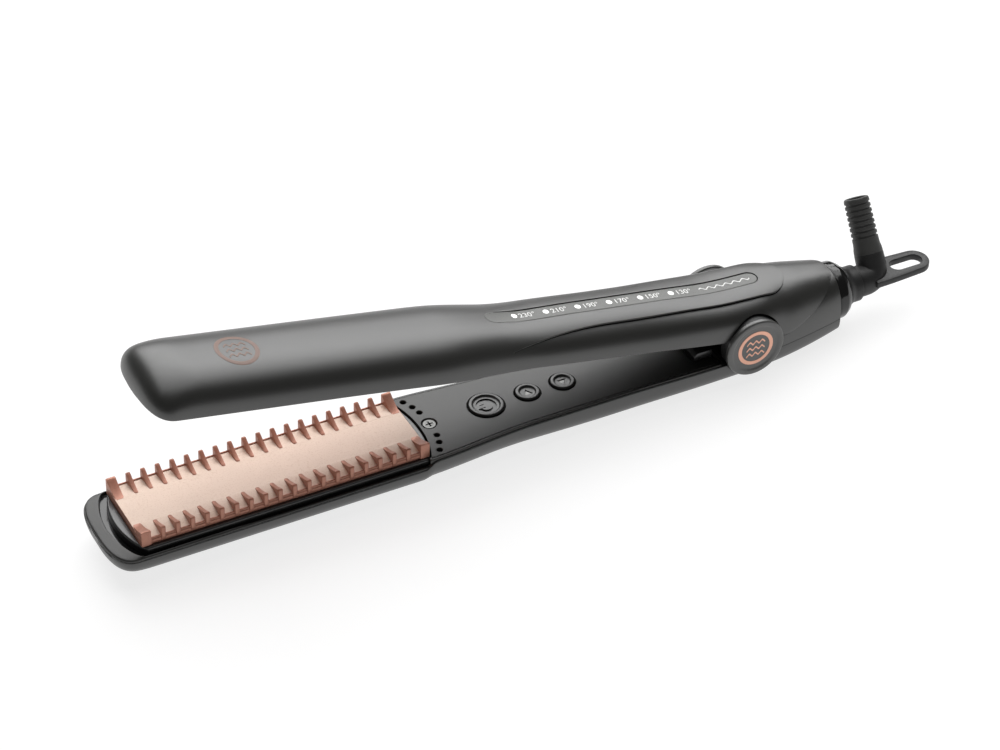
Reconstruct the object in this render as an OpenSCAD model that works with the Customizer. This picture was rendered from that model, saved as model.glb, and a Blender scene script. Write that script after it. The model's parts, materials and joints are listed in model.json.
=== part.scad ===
// Hair crimper with two toothed plates, a spring-opened hinge and a swivel cord outlet.
// Arm frame: origin on the hinge axis, +X to the cord end, +Z up, mid-plane of the closed arms at z = 0.
// The whole tool is then tilted and lifted so that it rests on the flat strip under the lower arm.

/* [Stance] */
// Angle between the arms when the spring has opened them, degrees
open_angle = 11; // [6:0.5:14]
// Downward slope of the closed mid-plane towards the cord end at rest, degrees
rest_pitch = 1.06; // [0.5:0.01:1.5]
// Height of the hinge axis above the table
hinge_height = 14.48; // [14.2:0.01:14.8]

/* [Arms] */
// Front end of the lower arm, distance from the hinge axis
lower_reach = 230.5; // [225:0.5:240]
// Front end of the upper arm, distance from the hinge axis
upper_reach = 220.5; // [218:0.5:224]
// Rear end of the arms, distance from the hinge axis
rear_reach = 38.2; // [36:0.2:42]
// Half width of the arms beside the plates
plate_half_width = 17.6; // [17.2:0.1:19]
// Half width of the arms along the handle
handle_half_width = 15.0; // [14.6:0.1:16]
// Half width of the arms beside the hinge
hinge_half_width = 15.7; // [15.4:0.1:16]
// Thickness of one arm beside the plates, from the mid-plane out
plate_depth = 16.8; // [16:0.1:18]
// Thickness of the upper arm along the handle, from the mid-plane out
handle_depth = 12.8; // [12.6:0.1:14]
// Mid-plane to the top of the upper arm over its plate
upper_plate_depth = 15.2; // [15:0.1:17]
// Wall thickness of the shells
wall = 1.8; // [1.4:0.1:2.2]
// Distance from the mid-plane to the inner face of each arm
face_gap = 4.4; // [4:0.1:5]

/* [Plates] */
// Length of the lower plate
plate_length = 100; // [90:1:104]
// Width across the outer faces of the teeth
plate_width = 29.4; // [28:0.2:30]
// Distance from one tooth to the next
tooth_pitch = 5; // [4.5:0.1:5.5]
// Number of teeth in a row on the lower plate
lower_teeth = 18; // [10:1:18]
// How far the crest of the upper barrel plate reaches past the mid-plane
barrel_reach = 1.4; // [1:0.1:1.6]
// Radius of the upper barrel plate
barrel_radius = 24; // [22:0.2:30]
// Thickness of a tooth along the plate
tooth_thickness = 1.6; // [1.4:0.1:2.2]
// Height of the tooth tops above the inner face
tooth_height = 5.3; // [5:0.1:5.6]
// Height of the flat crown between the two rows of teeth above the inner face
crown_height = 2.4; // [1.8:0.1:2.6]
// Height of the plate's side ledge between teeth above the inner face
ledge_height = 1.7; // [1:0.1:2]

/* [Hinge] */
// Radius of the round ears that carry the pin
ear_radius = 10.5; // [10:0.1:10.8]
// Radius of the round caps
cap_radius = 10.9; // [10.8:0.1:12]
// Radius of the hinge pin
pin_radius = 3; // [2.5:0.1:3.5]
// Radial running clearance on the pin
pin_clearance = 0.05; // [0.02:0.01:0.1]

/* [Controls] */
// Radius of the power button
power_radius = 5.9; // [5:0.1:6.5]
// Radius of the up and down buttons
small_button_radius = 4.1; // [3.6:0.1:4.6]
// Travel of the buttons
button_travel = 0.5; // [0.3:0.1:0.8]
// Number of indicator lights
light_count = 6; // [4:1:6]
// Distance between the indicator lights
light_pitch = 12; // [10:0.5:12]

/* [Cord outlet] */
// Radius of the glossy rear collar
collar_radius = 10.3; // [9.8:0.1:11]
// Distance from the hinge axis to the turning point of the cord elbow
elbow_reach = 58; // [56:0.5:62]
// Sideways lean of the strain relief, degrees from the vertical
boot_lean = 34; // [0:1:60]
// Outer radius of the strain relief
boot_radius = 4.45; // [4:0.05:5]
// Length of the strain relief from the turning point
boot_length = 28; // [24:1:34]
// Radius of the bore that takes the cord
cord_radius = 3.1; // [2.5:0.1:3.3]
// Distance from the hinge axis to the end of the hanging loop
loop_reach = 79.5; // [76:0.5:84]

/* [Hidden] */
$fn = 48;

// Places along the arms
plate_centre = -170.4;
plate_end = plate_centre + plate_length / 2;
upper_plate_front = -211.4;
upper_plate_rear = -124.2;
upper_plate_length = upper_plate_rear - upper_plate_front;
upper_centre = (upper_plate_front + upper_plate_rear) / 2;
neck_start = -121.2;
vent_arc = [[-116.2, 13.4], [-114.6, 9.85], [-113.7, 6.35]];
face_screw_x = -113.3;
power_x = -92.4;
up_x = -77.1;
down_x = -64;
first_light_x = -87.2;
panel_front = -100;
panel_rear = 15.4;
panel_half_width = 8.8;
lens_front = -98.3;
lens_rear = 6.3;
lens_half_width = 3.25;
cheek_front = 7;
collar_rear = 44.2;
collar_z = -1;

// Heights
plate_rim_z = 7.6;      // parting line of a shell beside the plate, from the mid-plane
handle_rim_z = 5.2;     // parting line of a shell along the handle
strip_depth = 14.3;     // mid-plane to the resting strip at its rear end
strip_rear = 10;        // rear end of the resting strip
strip_front = -125;     // front end of the resting strip
step_front = -123;       // start of the step in the lower parting line
holder_top = 4.8;       // mid-plane to the visible top of the plate holder
upper_handle_rim = 2.3;  // edge of the upper shell along the handle, from the mid-plane
upper_rim_drop = 1.1;    // how much farther from the mid-plane that edge is beside the plate
tail_depth = 17.4;      // mid-plane of the upper arm to the top of its tail
gap = 0.25;             // assembly gap between fixed mouldings

// ---------- curves ----------
function clamp01(v) = min(1, max(0, v));
function ease(x, a, b) = let (t = clamp01((x - a) / (b - a))) t * t * (3 - 2 * t);
function spow(v, e) = sign(v) * pow(abs(v), e);
// Falls from 1 at x = start to 0 at x = tip like a superellipse
function nose(x, start, tip, e) = pow(max(0, 1 - pow(clamp01((start - x) / (start - tip)), e)), 1 / e);

// Half width of the arms in plan, behind the nose
function body_half_width(x) =
    plate_half_width
    - (plate_half_width - handle_half_width) * ease(x, -122, -82)
    + (hinge_half_width - handle_half_width) * ease(x, -50, -14)
    - 5.2 * pow(clamp01(x / rear_reach), 1.6);
function half_width(x, tip) = body_half_width(x) * nose(x, tip + 9, tip, 2.8);

// Parting line of a shell, distance from the mid-plane
function rim_z(x) = plate_rim_z - (plate_rim_z - handle_rim_z) * ease(x, step_front, step_front + 4);

// Outer depth of the lower arm below the mid-plane
function lower_body_depth(x) =
    x < strip_front ? plate_depth
    : x < strip_rear
        ? plate_depth - (plate_depth - strip_depth) * (x - strip_front) / (strip_rear - strip_front)
    : strip_depth - 2.4 * pow((x - strip_rear) / (rear_reach - strip_rear), 1.7);
function lower_depth(x, tip) =
    rim_z(x) + (lower_body_depth(x) - rim_z(x)) * nose(x, tip + 14, tip, 2.3);

// Outer height of the upper arm above its own mid-plane
function upper_body_depth(x) =
    upper_plate_depth - (upper_plate_depth - handle_depth) * ease(x, -116, -80)
    + 0.7 * ease(x, -75, -20) + (tail_depth - handle_depth - 0.7) * ease(x, -18, 22);
// Lower edge of the upper shell: rises gently to the plate, drops behind the ears to meet the tail seam
tail_base = 1;
function upper_base(x) = upper_handle_rim + upper_rim_drop * ease(-x, 55, 160)
    - (upper_handle_rim - tail_base) * ease(x, -7, 8);
function upper_depth(x, tip) =
    upper_base(x) + (upper_body_depth(x) - upper_base(x)) * nose(x, tip + 16, tip, 2.1);

// Front to rear stations: close together at the nose, even along the body
function stations(tip, rear, nose_steps, steps) = concat(
    [for (i = [0:nose_steps - 1]) tip + 0.02 + 16 * pow(i / nose_steps, 1.7)],
    [for (i = [0:steps]) tip + 16 + (rear - tip - 16) * i / steps]);

// Stations of the lower arm, with both ends of the step in its parting line
function lower_stations(tip, rear, nose_steps) = concat(
    [for (i = [0:nose_steps - 1]) tip + 0.02 + 16 * pow(i / nose_steps, 1.7)],
    [for (i = [0:11]) tip + 16 + (step_front - tip - 16) * i / 11], [for (i = [1:4]) step_front + i],
    [for (i = [1:17]) step_front + 4 + (rear - step_front - 4) * i / 17]);

// One cross-section point: angle a from -90 to 90, half width w, base height b, crown height h
function arch(x, a, w, b, h, e) =
    [x, w * spow(sin(a), 2 / e), b + (h - b) * pow(abs(cos(a)), 2 / e)];

// Closed bowl from an outer and an inner grid of points with the same number of rows and columns
module bowl(outer, inner) {
    rows = len(outer);
    cols = len(outer[0]);
    function o(i, j) = i * cols + j;
    function n(i, j) = rows * cols + i * cols + j;
    points = concat([for (r = outer) each r], [for (r = inner) each r]);
    faces = concat(
        [for (i = [0:rows - 2], j = [0:cols - 2]) each [
            [o(i, j), o(i + 1, j), o(i + 1, j + 1)], [o(i, j), o(i + 1, j + 1), o(i, j + 1)],
            [n(i, j), n(i + 1, j + 1), n(i + 1, j)], [n(i, j), n(i, j + 1), n(i + 1, j + 1)]]],
        [for (i = [0:rows - 2]) each [
            [o(i, 0), n(i, 0), n(i + 1, 0)], [o(i, 0), n(i + 1, 0), o(i + 1, 0)],
            [o(i, cols - 1), o(i + 1, cols - 1), n(i + 1, cols - 1)],
            [o(i, cols - 1), n(i + 1, cols - 1), n(i, cols - 1)]]],
        [for (j = [0:cols - 2]) each [
            [o(0, j), o(0, j + 1), n(0, j + 1)], [o(0, j), n(0, j + 1), n(0, j)],
            [o(rows - 1, j), n(rows - 1, j), n(rows - 1, j + 1)],
            [o(rows - 1, j), n(rows - 1, j + 1), o(rows - 1, j + 1)]]]);
    polyhedron(points, faces, convexity = 6);
}

angles = [for (k = [0:18]) -90 + 10 * k];
fullness = 2.45;
function lower_fullness(x) = fullness + 0.95 * ease(x, -100, -45);
function upper_fullness(x) = fullness + 0.6 * ease(x, -45, -12) * (1 - ease(x, 2, 14));

// Lower arm section: like arch() upside down, with its belly cut flat for the resting strip
belly_cut = 0.5;
function belly(x, a, w, b, h, e) =
    [x, w * spow(sin(a), 2 / e),
     -min(h, b + (h - b) * (1 + belly_cut / (plate_depth - b)) * pow(abs(cos(a)), 2 / e))];

function lower_grid(tip, inset) = [for (x = lower_stations(tip, rear_reach, 6))
    let (x0 = max(x, tip + 0.02), w = half_width(x0, tip) - inset,
         h = lower_depth(x0, tip) - inset * clamp01((x0 - tip) / 3))
    [for (a = angles) belly(x0 + (x0 < tip + 2 ? inset : 0), a, w, rim_z(x0), h, lower_fullness(x0))]];
function upper_grid(tip, rear, inset, proud) = [for (x = stations(tip, rear, 6, 32))
    let (x0 = max(x, tip + 0.02), t = inset * (1 - 0.45 * ease(x0, 2, 12)),
         w = half_width(x0, tip) - t + proud * ease(x0, 2, 20),
         h = upper_depth(x0, tip) - t * clamp01((x0 - tip) / 3))
    [for (a = angles) arch(x0 + (x0 < tip + 2 ? inset : 0), a, w, upper_base(x0), h, upper_fullness(x0))]];

// ---------- frames ----------
module placed() { translate([0, 0, hinge_height]) rotate([0, rest_pitch, 0]) children(); }
module raised() { placed() rotate([0, open_angle, 0]) children(); }
module flipped() { mirror([0, 0, 1]) children(); }
// A cylinder along Y, from y to y + length
module across(r, y, length, x = 0, z = 0) {
    translate([x, y, z]) rotate([-90, 0, 0]) cylinder(r = r, h = length);
}
// A cylinder along X, from x to x + length
module along(r, x, length, y = 0, z = 0) {
    translate([x, y, z]) rotate([0, 90, 0]) cylinder(r = r, h = length);
}
// A flat outline in XY raised from z to z + height
module slab(z, height) { translate([0, 0, z]) linear_extrude(height) children(); }
// A side-view outline in XZ, as wide as +-half across the arm
module side_cut(half) { rotate([90, 0, 0]) linear_extrude(2 * half, center = true) children(); }
// A pill from x0 to x1 of half width r
module pill(x0, x1, r) {
    translate([x0 + r, -r]) square([x1 - x0 - 2 * r, 2 * r]);
    translate([x0 + r, 0]) circle(r);
    translate([x1 - r, 0]) circle(r);
}

// ---------- shells ----------
module lower_shell() {
    color([0.16, 0.16, 0.15]) placed() difference() {
        bowl(lower_grid(-lower_reach, 0), lower_grid(-lower_reach, wall));
        for (s = [-1, 1]) across(ear_radius + gap, s > 0 ? 12 : -20, 8);
    }
}

// Side outline of the gap under the tail of the upper arm, in the arm's own frame
seam_steps = 10;
function seam_z(u) = 2 + 15.2 * pow(u, 1.35);
module below_seam() {
    polygon(concat(
        [[ear_radius * 0.5, -30], [60, -30], [60, 40], [tail_end, 40]],
        [for (i = [seam_steps:-1:0]) [seam_front + (tail_end - seam_front) * i / seam_steps,
            seam_z(i / seam_steps)]],
        [[ear_radius * 0.5, 2]]));
}
seam_front = 13;
tail_end = 34.6;

module upper_shell() {
    color([0.17, 0.17, 0.16]) raised() difference() {
        bowl(upper_grid(-upper_reach, tail_end, 0, 0.5), upper_grid(-upper_reach, tail_end, wall, 0.5));
        for (s = [-1, 1]) across(ear_radius + 0.5, s > 0 ? 11 : -20, 9);
        side_cut(25) below_seam();
        slab(0, 30) pill(lens_front + 2, lens_rear - 2, lens_half_width - 1);
    }
}

// ---------- inner covers ----------
function plan_edge(x0, x1, tip, inset, steps) = concat(
    [for (i = [0:steps]) let (x = x0 + (x1 - x0) * i / steps) [x, half_width(x, tip) - inset]],
    [for (i = [steps:-1:0]) let (x = x0 + (x1 - x0) * i / steps) [x, inset - half_width(x, tip)]]);
function nose_edge(x1, tip, inset, steps) = concat(
    [for (i = [0:steps]) let (x = nose_x(x1, tip, i / steps)) [x + inset, half_width(x, tip) - inset]],
    [for (i = [steps:-1:0]) let (x = nose_x(x1, tip, i / steps)) [x + inset, inset - half_width(x, tip)]]);
function nose_x(x1, tip, u) = tip + 0.04 + (x1 - tip) * pow(u, 1.6);

holder_front = plate_centre - plate_length / 2 - 3.4;
holder_rear = plate_end + 3.2;
upper_front = upper_plate_front - 3.4;
upper_rear = upper_plate_rear + 3.2;
upper_holder_half_width = 14.2;
holder_half_width = 15.7;
cover_rear = -11.7;

// Outline of the plate holder: straight sides, bowed ends
front_bow = 30;
rear_bow = 40;
function bow_depth(r, half) = r - sqrt(r * r - half * half);
module holder_outline(front, rear, grow, width = holder_half_width) {
    half = width + grow;
    x0 = front - grow + bow_depth(front_bow, half);
    x1 = rear + grow - bow_depth(rear_bow, half);
    translate([x0 - 0.01, -half]) square([x1 - x0 + 0.02, 2 * half]);
    intersection() {
        translate([front - grow + front_bow, 0]) circle(front_bow, $fn = 96);
        translate([x0 - 20, -half]) square([20, 2 * half]);
    }
    intersection() {
        translate([rear + grow - rear_bow, 0]) circle(rear_bow, $fn = 96);
        translate([x1, -half]) square([20, 2 * half]);
    }
}

// Inner face of the lower arm: handle face, rim round the plate and solid nose
module lower_face() {
    difference() {
        union() {
            slab(-handle_rim_z + 0.02, handle_rim_z - face_gap - 0.02)
                polygon(plan_edge(neck_start, cover_rear, -lower_reach, 0.5, 16));
            slab(-handle_rim_z - 0.8, 0.82)
                polygon(plan_edge(neck_start, cover_rear, -lower_reach, wall + 0.5, 16));
            slab(-plate_rim_z + 0.02, 1.2)
                polygon(nose_edge(step_front - 0.9, -lower_reach, 0.6, 16));
            slab(-plate_rim_z - 1.4, 1.42)
                polygon(nose_edge(step_front - 3.3, -lower_reach, wall + 1.2, 16));
        }
        translate([0, 0, -20]) linear_extrude(40) holder_outline(holder_front, holder_rear, 0.35);
    }
}

module face_holes() {
    for (v = vent_arc, s = [-1, 1]) translate([v[0], s * v[1], -12]) cylinder(r = 0.95, h = 12);
    translate([face_screw_x, 0, -12]) cylinder(r = 1.6, h = 12);
    translate([face_screw_x, 0, -face_gap - 1.2]) cylinder(r = 2.5, h = 4);
}

module lower_inner_cover() {
    color([0.2, 0.2, 0.19]) placed() difference() {
        lower_face();
        face_holes();
        translate([power_x, 0, -12]) cylinder(r = power_radius + 0.35, h = 12);
        for (x = [up_x, down_x]) translate([x, 0, -12]) cylinder(r = small_button_radius + 0.3, h = 12);
    }
}

// Inner face of the upper arm: one flat cover set between the walls of the shell
module upper_inner_cover() {
    color([0.2, 0.2, 0.19]) raised() flipped() difference() {
        slab(-face_gap - 1, 1) polygon(nose_edge(cover_rear - wall - 0.9, -upper_reach, wall + 0.7, 28));
        translate([0, 0, -20]) linear_extrude(40)
            holder_outline(upper_front, upper_rear, 0.35, upper_holder_half_width);
        face_holes();
    }
}

// ---------- plates ----------
// Pocket for the plate's foot and heater, and the holes of the two holder screws
module holder_pocket(centre, length, half, screw_x) {
    translate([centre - length / 2 - 0.2, -half, pocket_floor]) cube([length + 0.4, 2 * half, 12]);
    for (s = [-1, 1]) translate([centre + s * screw_x, 0, -20]) cylinder(r = 1.25, h = 20);
}
pocket_floor = -holder_top - 5.4;
pocket_half = 12.6;
upper_pocket_half = 11.6;
holder_screw_x = 42;
upper_screw_x = 34;

// Cross-section of the lower plate without teeth, in YZ: flat crown falling to a beaded ledge each side
crown_half = 6.8;
bead_radius = 0.4;
function ledge_y() = plate_width / 2 - 0.45;
function crown_z(y) = crown_height - face_gap - (crown_height - ledge_height)
    * pow(max(0, y - crown_half) / (ledge_y() - bead_radius - crown_half), 1.6);
module crown_profile() {
    inner = ledge_y() - bead_radius;
    steps = [for (i = [0:8]) crown_half + (inner - crown_half) * i / 8];
    polygon(concat(
        [[-ledge_y(), -holder_top], [ledge_y(), -holder_top], [ledge_y(), crown_z(inner)]],
        [for (i = [8:-1:0]) [steps[i], crown_z(steps[i])]],
        [for (i = [0:8]) [-steps[i], crown_z(steps[i])]],
        [[-ledge_y(), crown_z(inner)]]));
    for (s = [-1, 1]) translate([s * inner, crown_z(inner)]) circle(bead_radius, $fn = 24);
    translate([-12.3, -holder_top - 2]) square([24.6, 2.1]);
}

// One tooth in YZ: upright outer face, rounded top, concave run down to the crown
tooth_run = 8.1;
tooth_top_width = 0.7;
module tooth_profile(half) {
    top = tooth_height - face_gap;
    foot = crown_height - face_gap + 0.1;
    low = -holder_top + 0.5;
    polygon(concat(
        [[half - tooth_run, low], [half - 0.9, low], [half, low + 0.8],
         [half, top - 0.35], [half - 0.35, top]],
        [for (i = [0:9]) let (u = i / 9) [half - tooth_top_width - (tooth_run - tooth_top_width) * u,
            foot + (top - foot) * pow(1 - u, 1.45)]]));
}
module tooth(x, width) {
    for (s = [0, 1]) mirror([0, s, 0]) translate([x - width / 2, 0, 0])
        rotate([90, 0, 90]) linear_extrude(width) tooth_profile(plate_width / 2);
}
module lower_plate() {
    color([0.82, 0.5, 0.4]) placed() union() {
        translate([plate_centre - plate_length / 2, 0, 0]) rotate([90, 0, 90]) linear_extrude(plate_length)
            crown_profile();
        for (i = [0:lower_teeth - 1]) tooth(tooth_x(i), tooth_thickness);
        for (s = [-1, 1]) tooth(plate_centre + s * (plate_length / 2 - 1.65), 3.3);
    }
}
function tooth_x(i) = plate_centre + (i - (lower_teeth - 1) / 2) * tooth_pitch;

module lower_plate_holder() {
    color([0.05, 0.05, 0.05]) placed() difference() {
        union() {
            slab(-holder_top - 3, 3) holder_outline(holder_front, holder_rear, 0);
            slab(-holder_top - 5.1, 2.1) holder_outline(holder_front, holder_rear, -0.5);
            slab(-holder_top - 6.6, 1.5) holder_outline(holder_front + 3, holder_rear - 3, -2);
        }
        holder_pocket(plate_centre, plate_length, pocket_half, holder_screw_x);
    }
}
module upper_plate_holder() {
    color([0.05, 0.05, 0.05]) raised() flipped() difference() {
        union() {
            slab(-holder_top - 3.2, 3.2)
                holder_outline(upper_front, upper_rear, 0, upper_holder_half_width);
            slab(-holder_top - 5.4, 2.2)
                holder_outline(upper_front + 4, upper_rear - 2, -1.6, upper_holder_half_width);
            slab(-holder_top - 6.6, 1.2)
                holder_outline(upper_front + 9, upper_rear - 6, -3.6, upper_holder_half_width);
        }
        holder_pocket(upper_centre, upper_plate_length, upper_pocket_half, upper_screw_x);
    }
}
// Barrel plate: its crest comes down between the rows of teeth, with a slot for every tooth but the first
barrel_half = 12.6;
barrel_foot_half = 11.3;
slot_clearance = 0.4;
slot_start = 6;
slot_floor = -1.5;
module barrel_profile() {
    intersection() {
        translate([0, barrel_reach - barrel_radius]) circle(barrel_radius, $fn = 128);
        translate([-barrel_half, -holder_top]) square([2 * barrel_half, holder_top + barrel_reach]);
    }
    translate([-barrel_foot_half, -holder_top - 2]) square([2 * barrel_foot_half, 2.1]);
}
module upper_plate() {
    color([0.82, 0.5, 0.4]) raised() flipped() difference() {
        translate([upper_plate_front, 0, 0]) rotate([90, 0, 90])
            linear_extrude(upper_plate_length) barrel_profile();
        for (i = [1:lower_teeth - 1], s = [0, 1]) mirror([0, s, 0])
            translate([tooth_x(i) - tooth_thickness / 2 - slot_clearance, slot_start, slot_floor])
                cube([tooth_thickness + 2 * slot_clearance, 10, 8]);
    }
}

// ---------- heating parts ----------
heater_top = holder_top + 2.1;
module heater() {
    slab(-heater_top - 2, 1.95) translate([plate_centre - 35, -6]) square([70, 12]);
    for (s = [-1, 1]) along(0.7, plate_centre + 34, 12, s * 3, -heater_top - 1);
}
module heater_clip() {
    difference() {
        slab(-heater_top - 3.2, 0.8) translate([plate_centre - 28, -4.5]) square([56, 9]);
        for (i = [-1, 1]) translate([plate_centre + i * 15, 0, -20]) cylinder(r = 2, h = 20);
    }
}
module thermistor() {
    along(0.95, plate_centre + 18, 2.6, 9.4, -heater_top - 1);
    along(0.45, plate_centre + 20.6, 24, 9.4, -heater_top - 1);
}
module cushions(spread, depth, r) {
    for (s = [-1, 1]) translate([plate_centre + s * spread, 0, -depth])
        difference() {
            cylinder(r = r, h = depth - holder_top - 6.65);
            translate([0, 0, -1]) cylinder(r = 1.4, h = 6);
        }
}
module upper_place() { raised() flipped() children(); }
module lower_heater() { color("white") placed() heater(); }
module lower_heater_clip() { color("silver") placed() heater_clip(); }
module lower_thermistor() { color([0.5, 0.15, 0.1]) placed() thermistor(); }
module lower_cushions() { color([0.75, 0.3, 0.25]) placed() cushions(34, 14.6, 5); }
module upper_heater() { color("white") upper_place() heater(); }
module upper_heater_clip() { color("silver") upper_place() heater_clip(); }
module upper_thermistor() { color([0.5, 0.15, 0.1]) upper_place() thermistor(); }
module upper_cushions() { color([0.75, 0.3, 0.25]) upper_place() cushions(25, 13.2, 4); }

// ---------- buttons ----------
board_top = 11.4;
switch_height = 3.2;
button_top = 3.7;
module button_board() {
    color([0.05, 0.3, 0.15]) placed() difference() {
        slab(-board_top - 1.2, 1.2) translate([-103, -8]) square([50, 16]);
        for (x = [-100.5, -55.5], s = [-1, 1]) translate([x, s * 5.8, -20]) cylinder(r = 1.1, h = 20);
    }
}
module tact_switches() {
    color([0.1, 0.1, 0.1]) placed() for (x = [power_x, up_x, down_x]) {
        translate([x - 3, -3, -board_top]) cube([6, 6, switch_height - 0.8]);
        translate([x, 0, -board_top]) cylinder(r = 1.7, h = switch_height);
    }
}
// Push button: dished cap, flange below the face and a stem that ends above its switch
module button(x, r) {
    stem_bottom = -board_top + switch_height + button_travel + 0.1;
    placed() translate([x, 0, 0]) rotate_extrude(convexity = 4) polygon([
        [0, stem_bottom], [1.5, stem_bottom], [1.5, -handle_rim_z - 2], [r + 0.8, -handle_rim_z - 2],
        [r + 0.8, -handle_rim_z - 1.2], [r, -handle_rim_z - 1.2], [r, -button_top - 0.3],
        [r - 0.35, -button_top], [r - 1, -button_top], [r - 1.8, -button_top - 0.5],
        [r - 2.6, -button_top - 0.7], [0, -button_top - 0.7]]);
}
module power_button() { color([0.15, 0.15, 0.14]) button(power_x, power_radius); }
module up_button() { color([0.15, 0.15, 0.14]) button(up_x, small_button_radius); }
module down_button() { color([0.15, 0.15, 0.14]) button(down_x, small_button_radius); }

// ---------- hinge ----------
ear_inner = 12.2;
ear_outer = 15.7;
module hinge_yoke() {
    color([0.1, 0.1, 0.1]) placed() difference() {
        union() {
            for (s = [-1, 1]) across(ear_radius, s > 0 ? ear_inner : -ear_outer, ear_outer - ear_inner);
            translate([-8, 0, 0]) rotate([90, 0, 90]) linear_extrude(18)
                polygon([[-12.6, -8.2], [12.6, -8.2], [10.9, -10.4], [-10.9, -10.4]]);
        }
        across(pin_radius + pin_clearance, -20, 40);
        for (s = [-1, 1]) translate([4, s * 5, -20]) cylinder(r = 1.15, h = 20);
    }
}
module hinge_pin() {
    color("silver") placed() union() {
        across(pin_radius, -15.7, 31.4);
        for (s = [-1, 1]) across(1.6, s > 0 ? 15.7 : -16.6, 0.9);
    }
}
// Round cap: rolled rim and shallow dish, drawn for the +Y side
cap_seat = 15.75;
cap_thickness = 1.9;
module hinge_cap() {
    rotate([-90, 0, 0]) rotate_extrude(convexity = 4) polygon([
        [1.7, cap_seat], [cap_radius - 0.3, cap_seat], [cap_radius, cap_seat + 0.3],
        [cap_radius, cap_seat + 1.3], [cap_radius - 0.6, cap_seat + cap_thickness],
        [cap_radius - 1.4, cap_seat + cap_thickness], [cap_radius - 2.4, cap_seat + 1.5],
        [0, cap_seat + 1.5], [0, cap_seat + 1], [1.7, cap_seat + 1]]);
}
module left_hinge_cap() { color([0.12, 0.12, 0.12]) placed() hinge_cap(); }
module right_hinge_cap() { color([0.12, 0.12, 0.12]) placed() mirror([0, 1, 0]) hinge_cap(); }

// Generic emblem: a ring round three crimp waves, lying on the XY plane
module emblem(r, height) {
    difference() {
        cylinder(r = r, h = height);
        translate([0, 0, -1]) cylinder(r = r * 0.84, h = height + 2);
    }
    for (k = [-1, 0, 1]) translate([0, k * r * 0.38, 0]) linear_extrude(height)
        polygon(concat(
            [for (i = [-3:3]) [i * r * 0.17, (abs(i) % 2) * r * 0.17]],
            [for (i = [3:-1:-3]) [i * r * 0.17, (abs(i) % 2) * r * 0.17 - r * 0.13]]));
}
module cap_badges() {
    color([0.8, 0.5, 0.4]) placed() for (s = [0, 1]) mirror([0, s, 0])
        translate([0, cap_seat + 1.5, 0]) rotate([-90, 0, 0]) emblem(6.7, 0.2);
}

block_half = 11.7;
block_front = -24.4;
block_screw_x = -20.5;
spring_half = 4.2;
module upper_hinge_block() {
    color([0.1, 0.1, 0.1]) raised() difference() {
        union() {
            across(7.4, -block_half, 2 * block_half);
            translate([block_front, -9.4, face_gap + 2.3]) cube([4 - block_front, 18.8, 2.4]);
            translate([-4, -10.5, 0]) cube([8, 21, face_gap + 3]);
        }
        across(pin_radius + 1.5, -20, 40);
        across(9, -spring_half, 2 * spring_half);
        for (s = [-1, 1]) translate([block_screw_x, s * 6, 0]) cylinder(r = 1.35, h = 20);
    }
}
module hinge_bushes() {
    color([0.75, 0.6, 0.3]) raised() for (s = [-1, 1]) difference() {
        across(pin_radius + 1.5, s > 0 ? spring_half : -block_half, block_half - spring_half);
        across(pin_radius + pin_clearance, -20, 40);
    }
}
// Torsion spring: open turns round the pin, one straight leg to each arm
spring_wire = 0.55;
spring_turns = 4.5;
spring_pitch = 1.3;
spring_leg = 8;
spring_radius = pin_radius + 1.3;
wire_sides = 8;
function spring_ring(centre, radial) = [for (k = [0:wire_sides - 1])
    let (a = 360 * k / wire_sides)
    [centre[0] + spring_wire * cos(a) * radial[0], centre[1] + spring_wire * sin(a),
     centre[2] + spring_wire * cos(a) * radial[1]]];
module opening_spring() {
    steps = 18 * spring_turns;
    half = spring_turns * spring_pitch / 2;
    rings = concat(
        [spring_ring([-spring_leg, -half, -spring_radius], [0, -1])],
        [for (i = [0:steps]) let (a = -90 + 20 * i, y = -half + spring_pitch * spring_turns * i / steps)
            spring_ring([spring_radius * cos(a), y, spring_radius * sin(a)], [cos(a), sin(a)])],
        [spring_ring([-spring_leg, half, spring_radius], [0, 1])]);
    last = len(rings) - 1;
    color("silver") placed() polyhedron([for (r = rings) each r], concat(
        [[for (k = [0:wire_sides - 1]) k]],
        [for (i = [0:last - 1], k = [0:wire_sides - 1])
            let (n = (k + 1) % wire_sides, p = i * wire_sides, q = p + wire_sides) each [
                [p + k, q + k, q + n], [p + k, q + n, p + n]]],
        [[for (k = [wire_sides - 1:-1:0]) last * wire_sides + k]]), convexity = 10);
}
module stop_block() {
    color([0.08, 0.08, 0.08]) placed() difference() {
        slab(-face_gap, 3.4) translate([-19.6, -10.3]) square([7, 20.6]);
        translate([-20.6, 0, 1.4]) rotate([0, 45, 0]) cube([4.4, 30, 4.4], center = true);
    }
}

// ---------- tail ----------
// Height of the tail cover under the upper arm's tail
function core_top(x) = 10.7 - 2.1 * ease(x, 10, 36);
function tail_grid(front, rear, inset, base, drop) = [for (i = [0:8])
    let (x = front + (rear - front) * i / 8, w = body_half_width(x) - inset)
    [for (a = angles) arch(x, a, w, base, core_top(x) - drop, fullness)]];
module tail_core() {
    color([0.1, 0.1, 0.1]) placed() difference() {
        bowl(tail_grid(cheek_front + 1, rear_reach - 0.2, 0.95, -handle_rim_z, 0.3),
             tail_grid(cheek_front + 1, rear_reach - 0.2, 2.3, -handle_rim_z, 1.6));
        for (s = [-1, 1]) across(ear_radius + gap, s > 0 ? 11.9 : -20, 8.1);
        across(8.2, -11.95, 23.9);
    }
}
function cheek_grid(side, drop) =
    [for (i = [0:10]) let (x = cheek_front + (rear_reach - cheek_front) * i / 10, w = body_half_width(x))
        [for (a = angles) arch(x, a, w - side, -handle_rim_z, cheek_crown(x) - drop, fullness)]];
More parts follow.
